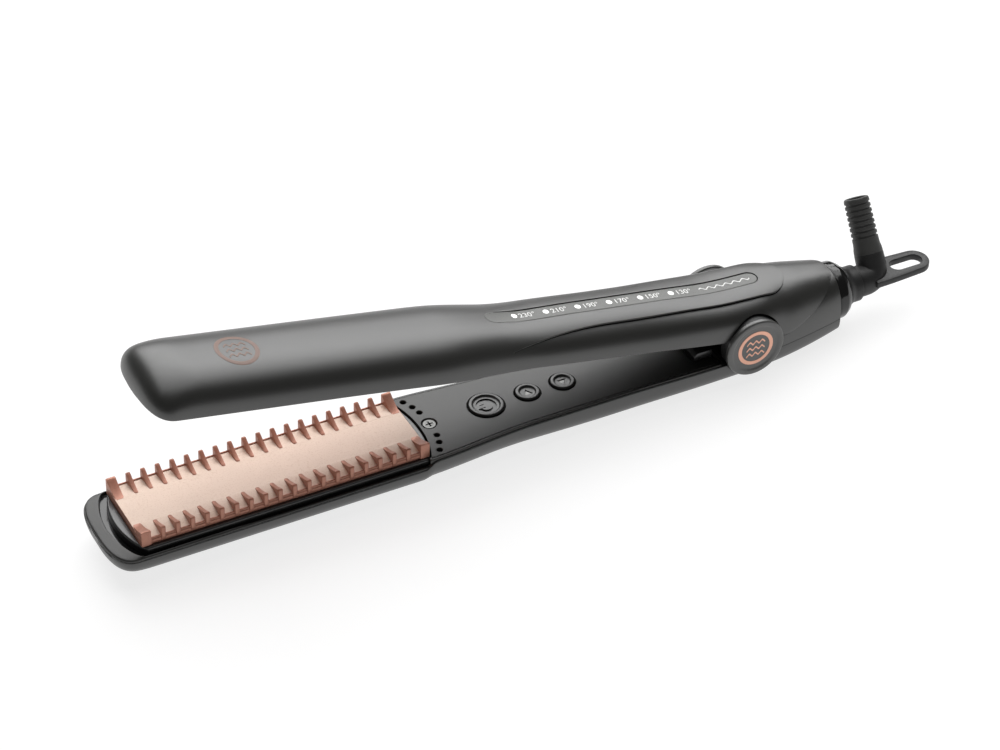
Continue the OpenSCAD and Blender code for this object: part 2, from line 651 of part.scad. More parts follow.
// Outer cheeks: same outline as the shells, open where the tail of the upper arm lies
module rear_cheeks() {
    color([0.18, 0.18, 0.17]) placed() difference() {
        bowl(cheek_grid(0, 0), cheek_grid(0.9, 0.95));
        for (s = [-1, 1]) across(ear_radius + gap, s > 0 ? 11 : -20, 9);
        rotate([0, open_angle, 0]) side_cut(25) above_seam();
    }
}
function cheek_crown(x) = core_top(x) + 0.7;
seam_gap = 0.3;
module above_seam() {
    polygon(concat(
        [[tail_end + seam_gap, 40], [-20, 40], [-20, -10], [seam_front - 4, -10],
         [seam_front - 4, seam_z(0) - seam_gap * 1.5]],
        [for (i = [0:seam_steps]) [seam_front + seam_gap + (tail_end - seam_front) * i / seam_steps,
            seam_z(i / seam_steps) - seam_gap]]));
}

// ---------- cord outlet ----------
module rear_collar() {
    color([0.03, 0.03, 0.03]) placed() translate([rear_reach + 0.05, 0, collar_z]) rotate([0, 90, 0])
        rotate_extrude(convexity = 4) polygon([
            [7.6, 0], [collar_radius - 0.2, 0], [collar_radius, 0.5], [collar_radius - 0.1, 3.4],
            [collar_radius - 1.2, 5.2], [collar_radius - 2.4, collar_rear - rear_reach],
            [7.6, collar_rear - rear_reach]]);
}
socket_front = 32;
neck_rear = 50;
shaft_radius = 4.6;
module swivel_socket() {
    color([0.14, 0.14, 0.14]) placed() translate([0, 0, collar_z]) difference() {
        union() {
            along(7.5, socket_front, collar_rear - socket_front + 0.6);
            translate([collar_rear + 0.6, 0, 0]) rotate([0, 90, 0]) cylinder(r1 = 7.5, r2 = 6.4, h = 2.2);
            along(6.4, collar_rear + 2.8, neck_rear - collar_rear - 2.8);
        }
        along(shaft_radius + 0.06, socket_front - 1, 40);
    }
}
module contact_springs() {
    color([0.8, 0.6, 0.25]) placed() translate([0, 0, collar_z])
        union() {
            for (x = [26.4, 29.2]) translate([x, -1.2, -8.7]) cube([1.6, 2.4, 8.7 - shaft_radius - 0.8]);
            translate([25.6, -3, -9.3]) cube([6, 6, 0.7]);
        }
}
module swivel_elbow() {
    color([0.12, 0.12, 0.12]) placed() translate([0, 0, collar_z]) difference() {
        union() {
            along(shaft_radius, 24, 28);
            along(5.5, neck_rear + 0.15, elbow_reach - neck_rear - 0.15);
            translate([elbow_reach, 0, 0]) sphere(5.5);
            boot_axis() cylinder(r = 5, h = 8.5);
        }
        along(2.6, 20, elbow_reach - 20);
        translate([elbow_reach, 0, 0]) sphere(2.6);
        boot_axis() cylinder(r = cord_radius, h = 20);
    }
}
module slip_rings() {
    color([0.8, 0.6, 0.25]) placed() translate([0, 0, collar_z]) for (x = [26.4, 29.2]) difference() {
        along(shaft_radius + 0.7, x, 1.6);
        along(shaft_radius, x - 1, 4);
    }
}
module swivel_clip() {
    color("silver") placed() translate([0, 0, collar_z]) difference() {
        along(6.4, socket_front - 0.9, 0.8);
        along(shaft_radius, socket_front - 2, 4);
        translate([socket_front - 2, -3, 0]) cube([4, 6, 10]);
    }
}
// Local frame of the strain relief: z along the cord, leaning to +Y
module boot_axis() { translate([elbow_reach, 0, 0]) rotate([-boot_lean, 0, 0]) children(); }
rib_first = 14.5;
rib_pitch = 1.9;
module strain_relief_boot() {
    color([0.2, 0.2, 0.2]) placed() translate([0, 0, collar_z]) boot_axis() difference() {
        rotate_extrude(convexity = 6) polygon(concat(
            [[0, 8.6], [5, 8.6], [boot_radius + 0.2, 11]],
            [for (k = [0:6]) each let (z = rib_first + k * rib_pitch) [
                [boot_radius, z - 0.45], [boot_radius - 0.55, z - 0.25],
                [boot_radius - 0.55, z + 0.25], [boot_radius, z + 0.45]]],
            [[boot_radius, boot_length - 0.4], [boot_radius - 0.4, boot_length], [0, boot_length]]));
        translate([0, 0, 1]) cylinder(r = cord_radius, h = boot_length);
    }
}
// Flat hanging tab behind the elbow, with a long slot
loop_z = 2.2;
loop_thickness = 2.5;
loop_end_radius = 5.4;
slot_half_width = 2.75;
module loop_outline() {
    polygon([[elbow_reach - 3, -5.6], [elbow_reach + 4, -6.2],
        [loop_reach - loop_end_radius, -loop_end_radius], [loop_reach - loop_end_radius, loop_end_radius],
        [elbow_reach + 4, 6.2], [elbow_reach - 3, 5.6]]);
    translate([loop_reach - loop_end_radius, 0]) circle(loop_end_radius);
}
module hanging_loop() {
    color([0.12, 0.12, 0.12]) placed() translate([0, 0, collar_z]) difference() {
        slab(loop_z - loop_thickness, loop_thickness) difference() {
            loop_outline();
            pill(elbow_reach + 6.6, loop_reach - 2.6, slot_half_width);
        }
        translate([elbow_reach, 0, 0]) sphere(5.5);
        along(5.5, elbow_reach - 6, 6);
        boot_axis() cylinder(r = 5, h = 9);
    }
}

// ---------- display ----------
// Half angle of the raised panel round the section: opens towards the side at its front end
panel_angles = [for (k = [-10:10]) k / 10];
function panel_half_angle(x) =
    let (flat = asin(pow(panel_half_width / body_half_width(x), fullness / 2)))
    flat + (80 - flat) * pow(1 - clamp01((x - panel_front + 4) / 50), 2.2);
function panel_round(x) =
    x > panel_rear - panel_half_width
    ? sqrt(max(0.0004, 1 - pow((x - panel_rear + panel_half_width) / panel_half_width, 2))) : 1;
function panel_rise(x) = 0.35 + 0.55 * ease(x, panel_front, -60);
function panel_x(u) = panel_front
    + (panel_rear - panel_front) * (u < 0.85 ? u / 0.85 * 0.91 : 0.91 + (u - 0.85) * 0.6);
function panel_grid(offset_low, rise_part) = [for (i = [0:30])
    let (x = panel_x(i / 30), w = body_half_width(x) + 0.5 * ease(x, 2, 20), h = upper_body_depth(x),
         r = offset_low + rise_part * panel_rise(x),
         flat = asin(pow(panel_half_width * panel_round(x) / w, upper_fullness(x) / 2)),
         half = x > -40 ? flat : panel_half_angle(x))
    [for (k = panel_angles) arch(x, k * half, w + r, upper_base(x), h + r, upper_fullness(x))]];
module display_panel() {
    color([0.2, 0.2, 0.19]) raised() difference() {
        bowl(panel_grid(0.12, 1), panel_grid(0.12, 0));
        slab(0, 30) pill(lens_front, lens_rear, lens_half_width);
    }
}
module display_lens() {
    color([0.25, 0.25, 0.25]) raised() intersection() {
        bowl(panel_grid(0.05, 1), panel_grid(0.12, 0.1));
        slab(0, 30) pill(lens_front + 0.15, lens_rear - 0.15, lens_half_width - 0.15);
    }
}
led_board_z = 9;
module led_board() {
    color([0.05, 0.3, 0.15]) raised() difference() {
        slab(led_board_z, 1) translate([-92, -6]) square([67.2, 12]);
        for (x = [-90, -27], s = [-1, 1]) translate([x, s * 4.2, 0]) cylinder(r = 1.1, h = 20);
    }
}
module indicator_leds() {
    color("white") raised() for (k = [0:light_count - 1])
        translate([first_light_x + k * light_pitch, 0, led_board_z + 1]) {
            cylinder(r = 1.5, h = 1.2);
            translate([0, 0, 1.2]) sphere(1);
        }
}
// Main board: relay-free heater control with its larger components underneath
module main_board() {
    color([0.05, 0.3, 0.15]) raised() union() {
        slab(7.4, 1.2) translate([-84, -8.5]) square([52, 17]);
        translate([-80, -6, 6.2]) cube([10, 4, 1.3]);
        translate([-64, 1, 6.2]) cube([7, 5, 1.3]);
        for (x = [-74, -50, -44]) translate([x, 4, 6.2]) cylinder(r = 2, h = 1.3);
    }
}
badge_x = -187;
badge_radius = 7.6;
badge_rise = 0.16;
function badge_grid(rise) = [for (x = [badge_x - 9, badge_x + 9])
    [for (a = angles)
        arch(x, a, plate_half_width + rise, upper_base(x), upper_plate_depth + rise, fullness)]];
module arm_badge() {
    color([0.8, 0.5, 0.4]) raised() intersection() {
        bowl(badge_grid(badge_rise), badge_grid(0.02));
        translate([badge_x, 0, 8]) emblem(badge_radius, 12);
    }
}

// ---------- screws ----------
module screw(head_r, head_h, shank_r, length) {
    difference() {
        union() {
            translate([0, 0, -head_h]) cylinder(r = head_r, h = head_h);
            translate([0, 0, -length]) cylinder(r = shank_r, h = length);
        }
        for (t = [0, 90]) rotate([0, 0, t]) translate([0, 0, 0.2])
            cube([head_r * 1.25, 0.6, 2], center = true);
    }
}
module arm_screws(centre, screw_x, length) {
    translate([face_screw_x, 0, -face_gap - 0.25]) screw(2.1, 0.9, 1.3, 7.4);
    for (s = [-1, 1]) translate([centre + s * screw_x, 0, pocket_floor + 0.95])
        screw(1.9, 0.9, 1.1, length);
}
module lower_screws() {
    color("silver") placed() union() {
        arm_screws(plate_centre, holder_screw_x, 4.6);
        for (s = [-1, 1]) translate([4, s * 5, -7.55]) screw(1.6, 0.6, 1, 4.6);
    }
}
module upper_screws() {
    color("silver") raised() flipped() union() {
        arm_screws(upper_centre, upper_screw_x, 3.4);
        for (s = [-1, 1]) translate([block_screw_x, s * 6, -6.1]) screw(1.9, 0.5, 1.2, 4.2);
    }
}

lower_shell();
lower_inner_cover();
lower_plate_holder();
lower_plate();
lower_heater();
lower_heater_clip();
lower_thermistor();
lower_cushions();
button_board();
tact_switches();
power_button();
up_button();
down_button();
hinge_yoke();
hinge_pin();
left_hinge_cap();
right_hinge_cap();
cap_badges();
opening_spring();
stop_block();
tail_core();
rear_cheeks();
rear_collar();
swivel_socket();
contact_springs();
lower_screws();
upper_shell();
upper_inner_cover();
upper_plate_holder();
upper_plate();
upper_heater();
upper_heater_clip();
upper_thermistor();
upper_cushions();
upper_hinge_block();
hinge_bushes();
display_panel();
display_lens();
led_board();
indicator_leds();
main_board();
arm_badge();
upper_screws();
swivel_elbow();
slip_rings();
swivel_clip();
strain_relief_boot();
hanging_loop();
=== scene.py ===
import json
import math

import bmesh
import bpy
from mathutils import Matrix, Vector


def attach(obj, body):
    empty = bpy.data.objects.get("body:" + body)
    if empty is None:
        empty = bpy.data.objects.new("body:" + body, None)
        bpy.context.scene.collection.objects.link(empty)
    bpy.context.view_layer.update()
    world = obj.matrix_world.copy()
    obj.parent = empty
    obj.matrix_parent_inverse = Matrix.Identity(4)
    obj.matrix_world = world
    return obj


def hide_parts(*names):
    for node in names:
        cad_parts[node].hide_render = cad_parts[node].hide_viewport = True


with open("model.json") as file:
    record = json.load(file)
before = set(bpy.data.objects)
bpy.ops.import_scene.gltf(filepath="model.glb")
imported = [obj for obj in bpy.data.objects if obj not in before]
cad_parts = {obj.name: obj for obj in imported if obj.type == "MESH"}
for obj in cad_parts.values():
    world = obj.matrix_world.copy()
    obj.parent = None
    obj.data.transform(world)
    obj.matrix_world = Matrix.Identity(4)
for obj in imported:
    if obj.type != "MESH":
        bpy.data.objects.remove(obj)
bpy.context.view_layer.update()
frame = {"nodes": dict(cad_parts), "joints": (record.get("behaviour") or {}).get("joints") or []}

MM = 0.001

# ---------------------------------------------------------------- frame of the two arms
joints = {j["name"]: j for j in frame["joints"]}
hinge_at = Vector(joints["arm_hinge"]["pos_m"])
press_axis = joints["power_press"]["axis"]
rest_pitch = math.atan2(-press_axis[0], -press_axis[2])
open_angle = math.radians(joints["arm_hinge"]["range_deg"][1])

# Both frames are in millimetres: origin on the hinge axis, +X to the cord, +Z out of the closed mid-plane
LOWER = Matrix.Translation(hinge_at) @ Matrix.Rotation(rest_pitch, 4, "Y") @ Matrix.Scale(MM, 4)
UPPER = Matrix.Translation(hinge_at) @ Matrix.Rotation(rest_pitch + open_angle, 4, "Y") @ Matrix.Scale(MM, 4)
FLIP = Matrix.Scale(-1, 4, Vector((0, 0, 1)))

# ---------------------------------------------------------------- camera
CAMERA_AT = Vector((-0.4773, -0.7354, 0.7068))
CAMERA_AZIMUTH = math.radians(-27.93)
CAMERA_ELEVATION = math.radians(39.41)
CAMERA_ROLL = math.radians(0.56)
CAMERA_LENS = 118.8


def make_camera():
    camera = bpy.data.objects.new("camera", bpy.data.cameras.new("camera"))
    bpy.context.scene.collection.objects.link(camera)
    camera.data.lens = CAMERA_LENS
    camera.data.sensor_width = 36
    camera.data.clip_start = 0.05
    camera.data.clip_end = 20
    turn = (Matrix.Rotation(CAMERA_AZIMUTH, 4, "Z")
            @ Matrix.Rotation(math.pi / 2 - CAMERA_ELEVATION, 4, "X")
            @ Matrix.Rotation(CAMERA_ROLL, 4, "Z"))
    camera.matrix_world = Matrix.Translation(CAMERA_AT) @ turn
    bpy.context.scene.camera = camera


make_camera()

# ---------------------------------------------------------------- sizes shared by several pieces
# Millimetres: x runs along the arm from the hinge axis, depths and rims count from the closed mid-plane
LOWER_TIP = -230.5
UPPER_TIP = -220.5
REAR = 38.2
PLATE_HALF_WIDTH = 17.6
HANDLE_HALF_WIDTH = 15.0
HINGE_HALF_WIDTH = 15.7
PLATE_DEPTH = 16.8
UPPER_PLATE_DEPTH = 15.2
UPPER_HANDLE_DEPTH = 12.8
UPPER_HANDLE_RIM = 2.3
UPPER_RIM_DROP = 1.1
TAIL_DEPTH = 17.4
WALL = 1.8
FACE = 4.4
PLATE_RIM = 7.6
HANDLE_RIM = 5.2
STRIP_DEPTH = 14.3
STRIP_FRONT = -125
STRIP_REAR = 10
TAIL_BASE = 1
FULLNESS = 2.45
EAR_RADIUS = 10.5
CAP_RADIUS = 10.9
SEAM_FRONT = 13
TAIL_END = 34.6
COLLAR_Z = -1
PLATE_CENTRE = -170.4
PLATE_LENGTH = 100
PLATE_WIDTH = 29.4
TOOTH_PITCH = 5
LOWER_TEETH = 18
HOLDER_TOP = 4.8
HOLDER_HALF_WIDTH = 15.7
HOLDER_AHEAD = 3.4
HOLDER_BEHIND = 3.2
PLATE_FRONT = PLATE_CENTRE - PLATE_LENGTH / 2
PLATE_REAR = PLATE_CENTRE + PLATE_LENGTH / 2
HOLDER_FRONT = PLATE_FRONT - HOLDER_AHEAD
HOLDER_REAR = PLATE_REAR + HOLDER_BEHIND
UPPER_PLATE_FRONT = -211.4
UPPER_PLATE_REAR = -124.2
UPPER_HOLDER_HALF = 14.2
NECK_START = -121.2
NOSE_LENGTH = 9
NOSE_POWER = 2.8
FRONT_BOW = 30
REAR_BOW = 40
HOLDER_CORNER = 0.8


# ---------------------------------------------------------------- curves of the body
def clamp01(v):
    return min(1.0, max(0.0, v))


def ease(x, a, b):
    t = clamp01((x - a) / (b - a))
    return t * t * (3 - 2 * t)


def nose(x, start, tip, e):
    return max(0.0, 1 - clamp01((start - x) / (start - tip)) ** e) ** (1 / e)


def body_half_width(x):
    return (PLATE_HALF_WIDTH - (PLATE_HALF_WIDTH - HANDLE_HALF_WIDTH) * ease(x, -122, -82)
            + (HINGE_HALF_WIDTH - HANDLE_HALF_WIDTH) * ease(x, -50, -14)
            - 5.2 * clamp01(x / REAR) ** 1.6)


def half_width(x, tip):
    return body_half_width(x) * nose(x, tip + NOSE_LENGTH, tip, NOSE_POWER)


def rim_z(x):
    return PLATE_RIM - (PLATE_RIM - HANDLE_RIM) * ease(x, -123, -119)


def lower_body_depth(x):
    if x < STRIP_FRONT:
        return PLATE_DEPTH
    if x < STRIP_REAR:
        return PLATE_DEPTH - (PLATE_DEPTH - STRIP_DEPTH) * (x - STRIP_FRONT) / (STRIP_REAR - STRIP_FRONT)
    return STRIP_DEPTH - 2.4 * ((x - STRIP_REAR) / (REAR - STRIP_REAR)) ** 1.7


def upper_body_depth(x):
    return (UPPER_PLATE_DEPTH - (UPPER_PLATE_DEPTH - UPPER_HANDLE_DEPTH) * ease(x, -116, -80)
            + 0.7 * ease(x, -75, -20) + (TAIL_DEPTH - UPPER_HANDLE_DEPTH - 0.7) * ease(x, -18, 22))


def upper_base(x):
    return (UPPER_HANDLE_RIM + UPPER_RIM_DROP * ease(-x, 55, 160)
            - (UPPER_HANDLE_RIM - TAIL_BASE) * ease(x, -7, 8))


def upper_crown(x):
    b = upper_base(x)
    return b + (upper_body_depth(x) - b) * nose(x, UPPER_TIP + 16, UPPER_TIP, 2.1)


def tail_proud(x):
    """How far the upper arm's tail stands out past the body's own half width."""
    return 0.5 * ease(x, 2, 20)


def lower_fullness(x):
    return FULLNESS + 0.95 * ease(x, -100, -45)


def upper_fullness(x):
    return FULLNESS + 0.6 * ease(x, -45, -12) * (1 - ease(x, 2, 14))


def section_z(w, b, h, y, e):
    """Height of a superellipse section at distance y from its middle."""
    u = clamp01(abs(y) / max(w, 1e-6))
    return b + (h - b) * (1 - u ** e) ** (1 / e)


# ---------------------------------------------------------------- mesh helpers
def finish_mesh(obj, body, replaces, sharp=32, weighted=False):
    mesh = obj.data
    mesh.shade_smooth()
    mesh.set_sharp_from_angle(angle=math.radians(sharp))
    if weighted:
        # Large flat faces keep their own normal; only the narrow rounded edges bend
        mod = obj.modifiers.new("weighted", "WEIGHTED_NORMAL")
        mod.weight = 100
        mod.keep_sharp = True
        bake(obj)
    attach(obj, body)
    if replaces:
        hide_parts(*([replaces] if isinstance(replaces, str) else replaces))
    return obj


def to_object(name, bm, matrix, materials):
    """Turns a bmesh drawn in an arm's millimetres into an object in the row frame."""
    bmesh.ops.transform(bm, matrix=matrix, verts=bm.verts)
    bmesh.ops.recalc_face_normals(bm, faces=bm.faces)
    mesh = bpy.data.meshes.new(name)
    bm.to_mesh(mesh)
    bm.free()
    obj = bpy.data.objects.new(name, mesh)
    bpy.context.scene.collection.objects.link(obj)
    for m in materials if isinstance(materials, (list, tuple)) else [materials]:
        mesh.materials.append(m)
    return obj


def loft(rings, bm=None):
    """Skins closed rings of equally many points into a solid with both ends closed."""
    bm = bm or bmesh.new()
    rows = [[bm.verts.new(p) for p in ring] for ring in rings]
    count = len(rows[0])
    for a, b in zip(rows, rows[1:]):
        for j in range(count):
            k = (j + 1) % count
            bm.faces.new((a[j], b[j], b[k], a[k]))
    bm.faces.new(rows[0])
    bm.faces.new(rows[-1][::-1])
    return bm


def circle(count):
    """Unit circle points."""
    return [(math.cos(2 * math.pi * k / count), math.sin(2 * math.pi * k / count)) for k in range(count)]


def quarter(r, x, z, angles):
    """Points of an arc of radius r round (x, z)."""
    return [(x + r * math.cos(math.radians(a)), z + r * math.sin(math.radians(a))) for a in angles]


def lathe(profile, steps=96):
    """Turns (radius, height) points round Z. A radius of 0 closes the shape."""
    bm = bmesh.new()
    rows = []
    for r, z in profile:
        if r < 1e-6:
            rows.append([bm.verts.new((0, 0, z))])
        else:
            rows.append([bm.verts.new((r * c, r * s, z)) for c, s in circle(steps)])
    for a, b in zip(rows, rows[1:]):
        for k in range(steps):
            n = (k + 1) % steps
            if len(a) == 1 and len(b) == 1:
                continue
            if len(a) == 1:
                bm.faces.new((a[0], b[k], b[n]))
            elif len(b) == 1:
                bm.faces.new((a[k], b[0], a[n]))
            else:
                bm.faces.new((a[k], b[k], b[n], a[n]))
    return bm


def rounded(points, radius, steps=5):
    """Rounds the corners of an open (radius, height) profile."""
    out = [points[0]]
    for before, here, after in zip(points, points[1:], points[2:]):
        p, q, r = Vector(before), Vector(here), Vector(after)
        reach = min(radius, (p - q).length * 0.45, (r - q).length * 0.45)
        start = q + (p - q).normalized() * reach
        end = q + (r - q).normalized() * reach
        for k in range(steps + 1):
            t = k / steps
            out.append(tuple((1 - t) ** 2 * start + 2 * t * (1 - t) * q + t * t * end))
    out.append(points[-1])
    return out


def stack(outline, layers):
    """Raises an outline through (z, inset) layers into one closed solid. outline(inset) gives its points."""
    return loft([[(x, y, z) for x, y in outline(inset)] for z, inset in layers])


def cut(obj, cutters, operation="DIFFERENCE"):
    """Applies exact booleans, then removes the cutters."""
    for cutter in cutters:
        mod = obj.modifiers.new("cut", "BOOLEAN")
        mod.operation = operation
        mod.solver = "EXACT"
        mod.object = cutter
    bake(obj)
    for cutter in cutters:
        bpy.data.objects.remove(cutter)


def bake(obj):
    """Applies an object's modifiers to its mesh."""
    shown = obj.evaluated_get(bpy.context.evaluated_depsgraph_get())
    mesh = bpy.data.meshes.new_from_object(shown)
    obj.modifiers.clear()
    old = obj.data
    obj.data = mesh
    bpy.data.meshes.remove(old)


def bevelled(obj, width_mm, segments, angle):
    mod = obj.modifiers.new("bevel", "BEVEL")
    mod.width = width_mm * MM
    mod.segments = segments
    mod.limit_method = "ANGLE"
    mod.angle_limit = math.radians(angle)
    mod.harden_normals = False
    bake(obj)


# ---------------------------------------------------------------- materials
def node_material(name):
    mat = bpy.data.materials.new(name)
    mat.use_nodes = True
    nodes, links = mat.node_tree.nodes, mat.node_tree.links
    shader = nodes["Principled BSDF"]
    coords = nodes.new("ShaderNodeTexCoord")
    return mat, nodes, links, shader, coords.outputs["Object"]


def noise(nodes, links, coords, scale, detail=3, roughness=0.55):
    tex = nodes.new("ShaderNodeTexNoise")
    tex.inputs["Scale"].default_value = scale
    tex.inputs["Detail"].default_value = detail
    tex.inputs["Roughness"].default_value = roughness
    links.new(coords, tex.inputs["Vector"])
    return tex.outputs["Fac"]


def ramp(nodes, links, value, low, high, a, b):
    """Maps value from low..high to a..b, numbers or colours."""
    if isinstance(a, (int, float)):
        m = nodes.new("ShaderNodeMapRange")
        m.inputs["From Min"].default_value = low
        m.inputs["From Max"].default_value = high
        m.inputs["To Min"].default_value = a
        m.inputs["To Max"].default_value = b
        links.new(value, m.inputs["Value"])
        return m.outputs["Result"]
    r = nodes.new("ShaderNodeValToRGB")
    r.color_ramp.elements[0].position = low
    r.color_ramp.elements[1].position = high
    r.color_ramp.elements[0].color = (*a, 1)
    r.color_ramp.elements[1].color = (*b, 1)
    links.new(value, r.inputs["Fac"])
    return r.outputs["Color"]


def add_bump(nodes, links, shader, height, strength, distance):
    bump = nodes.new("ShaderNodeBump")
    bump.inputs["Strength"].default_value = strength
    bump.inputs["Distance"].default_value = distance
    links.new(height, bump.inputs["Height"])
    links.new(bump.outputs["Normal"], shader.inputs["Normal"])


def plastic(name, color, rough, grain=2600, grain_strength=0.25, spread=0.1, specular=0.5):
    """Moulded plastic: fine spark-eroded grain, slight cloudiness in tone and gloss."""
    mat, nodes, links, shader, coords = node_material(name)
    cloud = noise(nodes, links, coords, 38, 4)
    dark = tuple(c * (1 - spread) for c in color)
    light = tuple(c * (1 + spread) for c in color)
    links.new(ramp(nodes, links, cloud, 0.3, 0.7, dark, light), shader.inputs["Base Color"])
    fine = noise(nodes, links, coords, grain, 2)
    links.new(ramp(nodes, links, fine, 0.25, 0.75, rough - 0.04, rough + 0.04), shader.inputs["Roughness"])
    shader.inputs["Specular IOR Level"].default_value = specular
    add_bump(nodes, links, shader, fine, grain_strength, 0.00002)
    return mat


def metal(name, color, rough):
    mat, nodes, links, shader, coords = node_material(name)
    shader.inputs["Metallic"].default_value = 1.0
    cloud = noise(nodes, links, coords, 240, 4)
    dark = tuple(c * 0.9 for c in color)
    links.new(ramp(nodes, links, cloud, 0.3, 0.7, dark, color), shader.inputs["Base Color"])
    fine = noise(nodes, links, coords, 3200, 2)
    links.new(ramp(nodes, links, fine, 0.3, 0.7, rough - 0.05, rough + 0.05), shader.inputs["Roughness"])
    add_bump(nodes, links, shader, fine, 0.1, 0.00001)
    return mat


def ceramic(name, color, speck, rough, metallic):
    """Copper-coloured ceramic coat with a fine mineral speckle."""
    mat, nodes, links, shader, coords = node_material(name)
    cloud = noise(nodes, links, coords, 70, 4)
    fine = noise(nodes, links, coords, 1900, 3, 0.7)
    base = ramp(nodes, links, cloud, 0.3, 0.7, tuple(c * 0.94 for c in color), color)
    spots = ramp(nodes, links, fine, 0.52, 0.7, (0, 0, 0), (1, 1, 1))
    mix = nodes.new("ShaderNodeMix")
    mix.data_type = "RGBA"
    mix.inputs[7].default_value = (*speck, 1)
    links.new(spots, mix.inputs["Factor"])
    links.new(base, mix.inputs[6])
    links.new(mix.outputs[2], shader.inputs["Base Color"])
    shader.inputs["Metallic"].default_value = metallic
    links.new(ramp(nodes, links, fine, 0.3, 0.7, rough - 0.05, rough + 0.07), shader.inputs["Roughness"])
    add_bump(nodes, links, shader, fine, 0.35, 0.00002)
    return mat


SATIN = plastic("satin_shell", (0.0135, 0.0135, 0.0115), 0.37, specular=1.0)
SATIN_INNER = plastic("satin_inner_face", (0.018, 0.018, 0.016), 0.44, grain_strength=0.4, specular=0.65)
SATIN_CAP = plastic("satin_cap", (0.06, 0.06, 0.057), 0.36, specular=0.9)
SATIN_BUTTON = plastic("satin_button", (0.020, 0.020, 0.018), 0.38, specular=0.9)
GLOSS_BLACK = plastic("gloss_black", (0.006, 0.006, 0.006), 0.12, grain_strength=0.02)
HOLDER_BLACK = plastic("holder_black", (0.012, 0.012, 0.012), 0.30, grain_strength=0.02, specular=0.8)
NYLON = plastic("black_nylon", (0.014, 0.014, 0.014), 0.5, grain=1800, grain_strength=0.5)
BOOT_RUBBER = plastic("boot_rubber", (0.05, 0.05, 0.048), 0.55, grain=2200, grain_strength=0.4)
LENS_SMOKE = plastic("lens_smoke", (0.11, 0.112, 0.105), 0.3, grain_strength=0.05)
PRINT_WHITE = plastic("print_white", (0.86, 0.86, 0.84), 0.4, grain_strength=0.05)
PLATE_COPPER = ceramic("plate_copper", (0.47, 0.215, 0.15), (0.40, 0.17, 0.115), 0.33, 0.35)
PLATE_PALE = ceramic("plate_pale_ceramic", (0.78, 0.60, 0.485), (0.66, 0.475, 0.365), 0.42, 0.1)
MARK_GREY = plastic("mark_grey", (0.62, 0.62, 0.6), 0.42, grain_strength=0.1)
COPPER_FADED = plastic("copper_faded", (0.20, 0.115, 0.085), 0.42, grain_strength=0.1)
COPPER_PRINT = metal("copper_print", (0.72, 0.40, 0.30), 0.38)
STEEL = metal("spring_steel", (0.55, 0.55, 0.56), 0.3)
SCREW = metal("screw_steel", (0.13, 0.13, 0.127), 0.32)
BRASS = metal("contact_brass", (0.80, 0.60, 0.30), 0.3)
BOARD = plastic("circuit_board", (0.02, 0.13, 0.06), 0.35, grain=900)
SILICONE = plastic("silicone", (0.40, 0.10, 0.06), 0.5)
HEATER = plastic("heater_ceramic", (0.80, 0.78, 0.73), 0.45)


def led_material():
    mat, nodes, links, shader, coords = node_material("led_white")
    cloud = noise(nodes, links, coords, 900, 2)
    links.new(ramp(nodes, links, cloud, 0.3, 0.7, (0.85, 0.86, 0.84), (0.95, 0.96, 0.94)),
              shader.inputs["Base Color"])
    shader.inputs["Roughness"].default_value = 0.3
    shader.inputs["Emission Color"].default_value = (1, 1, 0.97, 1)
    shader.inputs["Emission Strength"].default_value = 0.5
    return mat


LED = led_material()

# ---------------------------------------------------------------- shells
EDGE_ROUND = 0.35
ARC_COLUMNS = 56
TIP_LEAN = 0.16
LEAN_MID = 7.5


def arc(w, b, h, z_low, x, flat, sign):
    """Section points from the -Y edge over the crown to the +Y edge. flat cuts the crown at that height."""
    top = (h + flat[1]) if flat else h
    u = clamp01((z_low - b) / max(top - b, 1e-6))
    e = upper_fullness(x) if sign > 0 else lower_fullness(x)
    reach = math.acos(min(1.0, u ** (e / 2)))
    out = []
    for j in range(ARC_COLUMNS + 1):
        a = -reach + 2 * reach * j / ARC_COLUMNS
        y = w * math.copysign(abs(math.sin(a)) ** (2 / e), math.sin(a)) if a else 0.0
        z = b + (top - b) * abs(math.cos(a)) ** (2 / e)
        if flat:
            z = min(z, flat[0])
        out.append((x, y, sign * z))
    return out


def shell_ring(x, tip, w, b, h, z_low, wall, sign, flat_cut=0.0):
    """Closed section of a shell wall: outer arc, rounded edge, inner arc, rounded edge."""
    r = min(EDGE_ROUND, 0.25 * max(h - z_low, 0.02))
    back = wall * (1 - clamp01((x - tip) / 16))
    span = clamp01((x - tip) / 3)
    inner_w = max(w - wall * max(0.15, span), 0.3)
    inner_h = max(h - wall * span, b + 0.01)
    flat_out = (h, flat_cut * (h - b)) if flat_cut else None
    flat_in = (inner_h, flat_cut * (inner_h - b)) if flat_cut else None
    outer = arc(w, b, h, z_low + r, x, flat_out, sign)
    inner = arc(inner_w, b, inner_h, min(z_low + r, inner_h), x + back, flat_in, sign)[::-1]
    edge_out, edge_in = outer[-1], inner[0]
    edge = []
    for k in range(1, 4):
        t = math.radians(30 * k)
        f = r * (1 - math.cos(t)) / max(edge_out[1] - edge_in[1], 1e-3)
        drop = r * math.sin(t) * clamp01((h - b) / 1.0)
        edge.append((edge_out[0] + (edge_in[0] - edge_out[0]) * f,
                     edge_out[1] + (edge_in[1] - edge_out[1]) * f, edge_out[2] - sign * drop))
    last = edge[-1]
    edge.append((edge_in[0], edge_in[1] + 0.2 * (last[1] - edge_in[1]), last[2]))
    mirrored = [(px, -py, pz) for px, py, pz in edge][::-1]
    return outer + edge + inner + mirrored


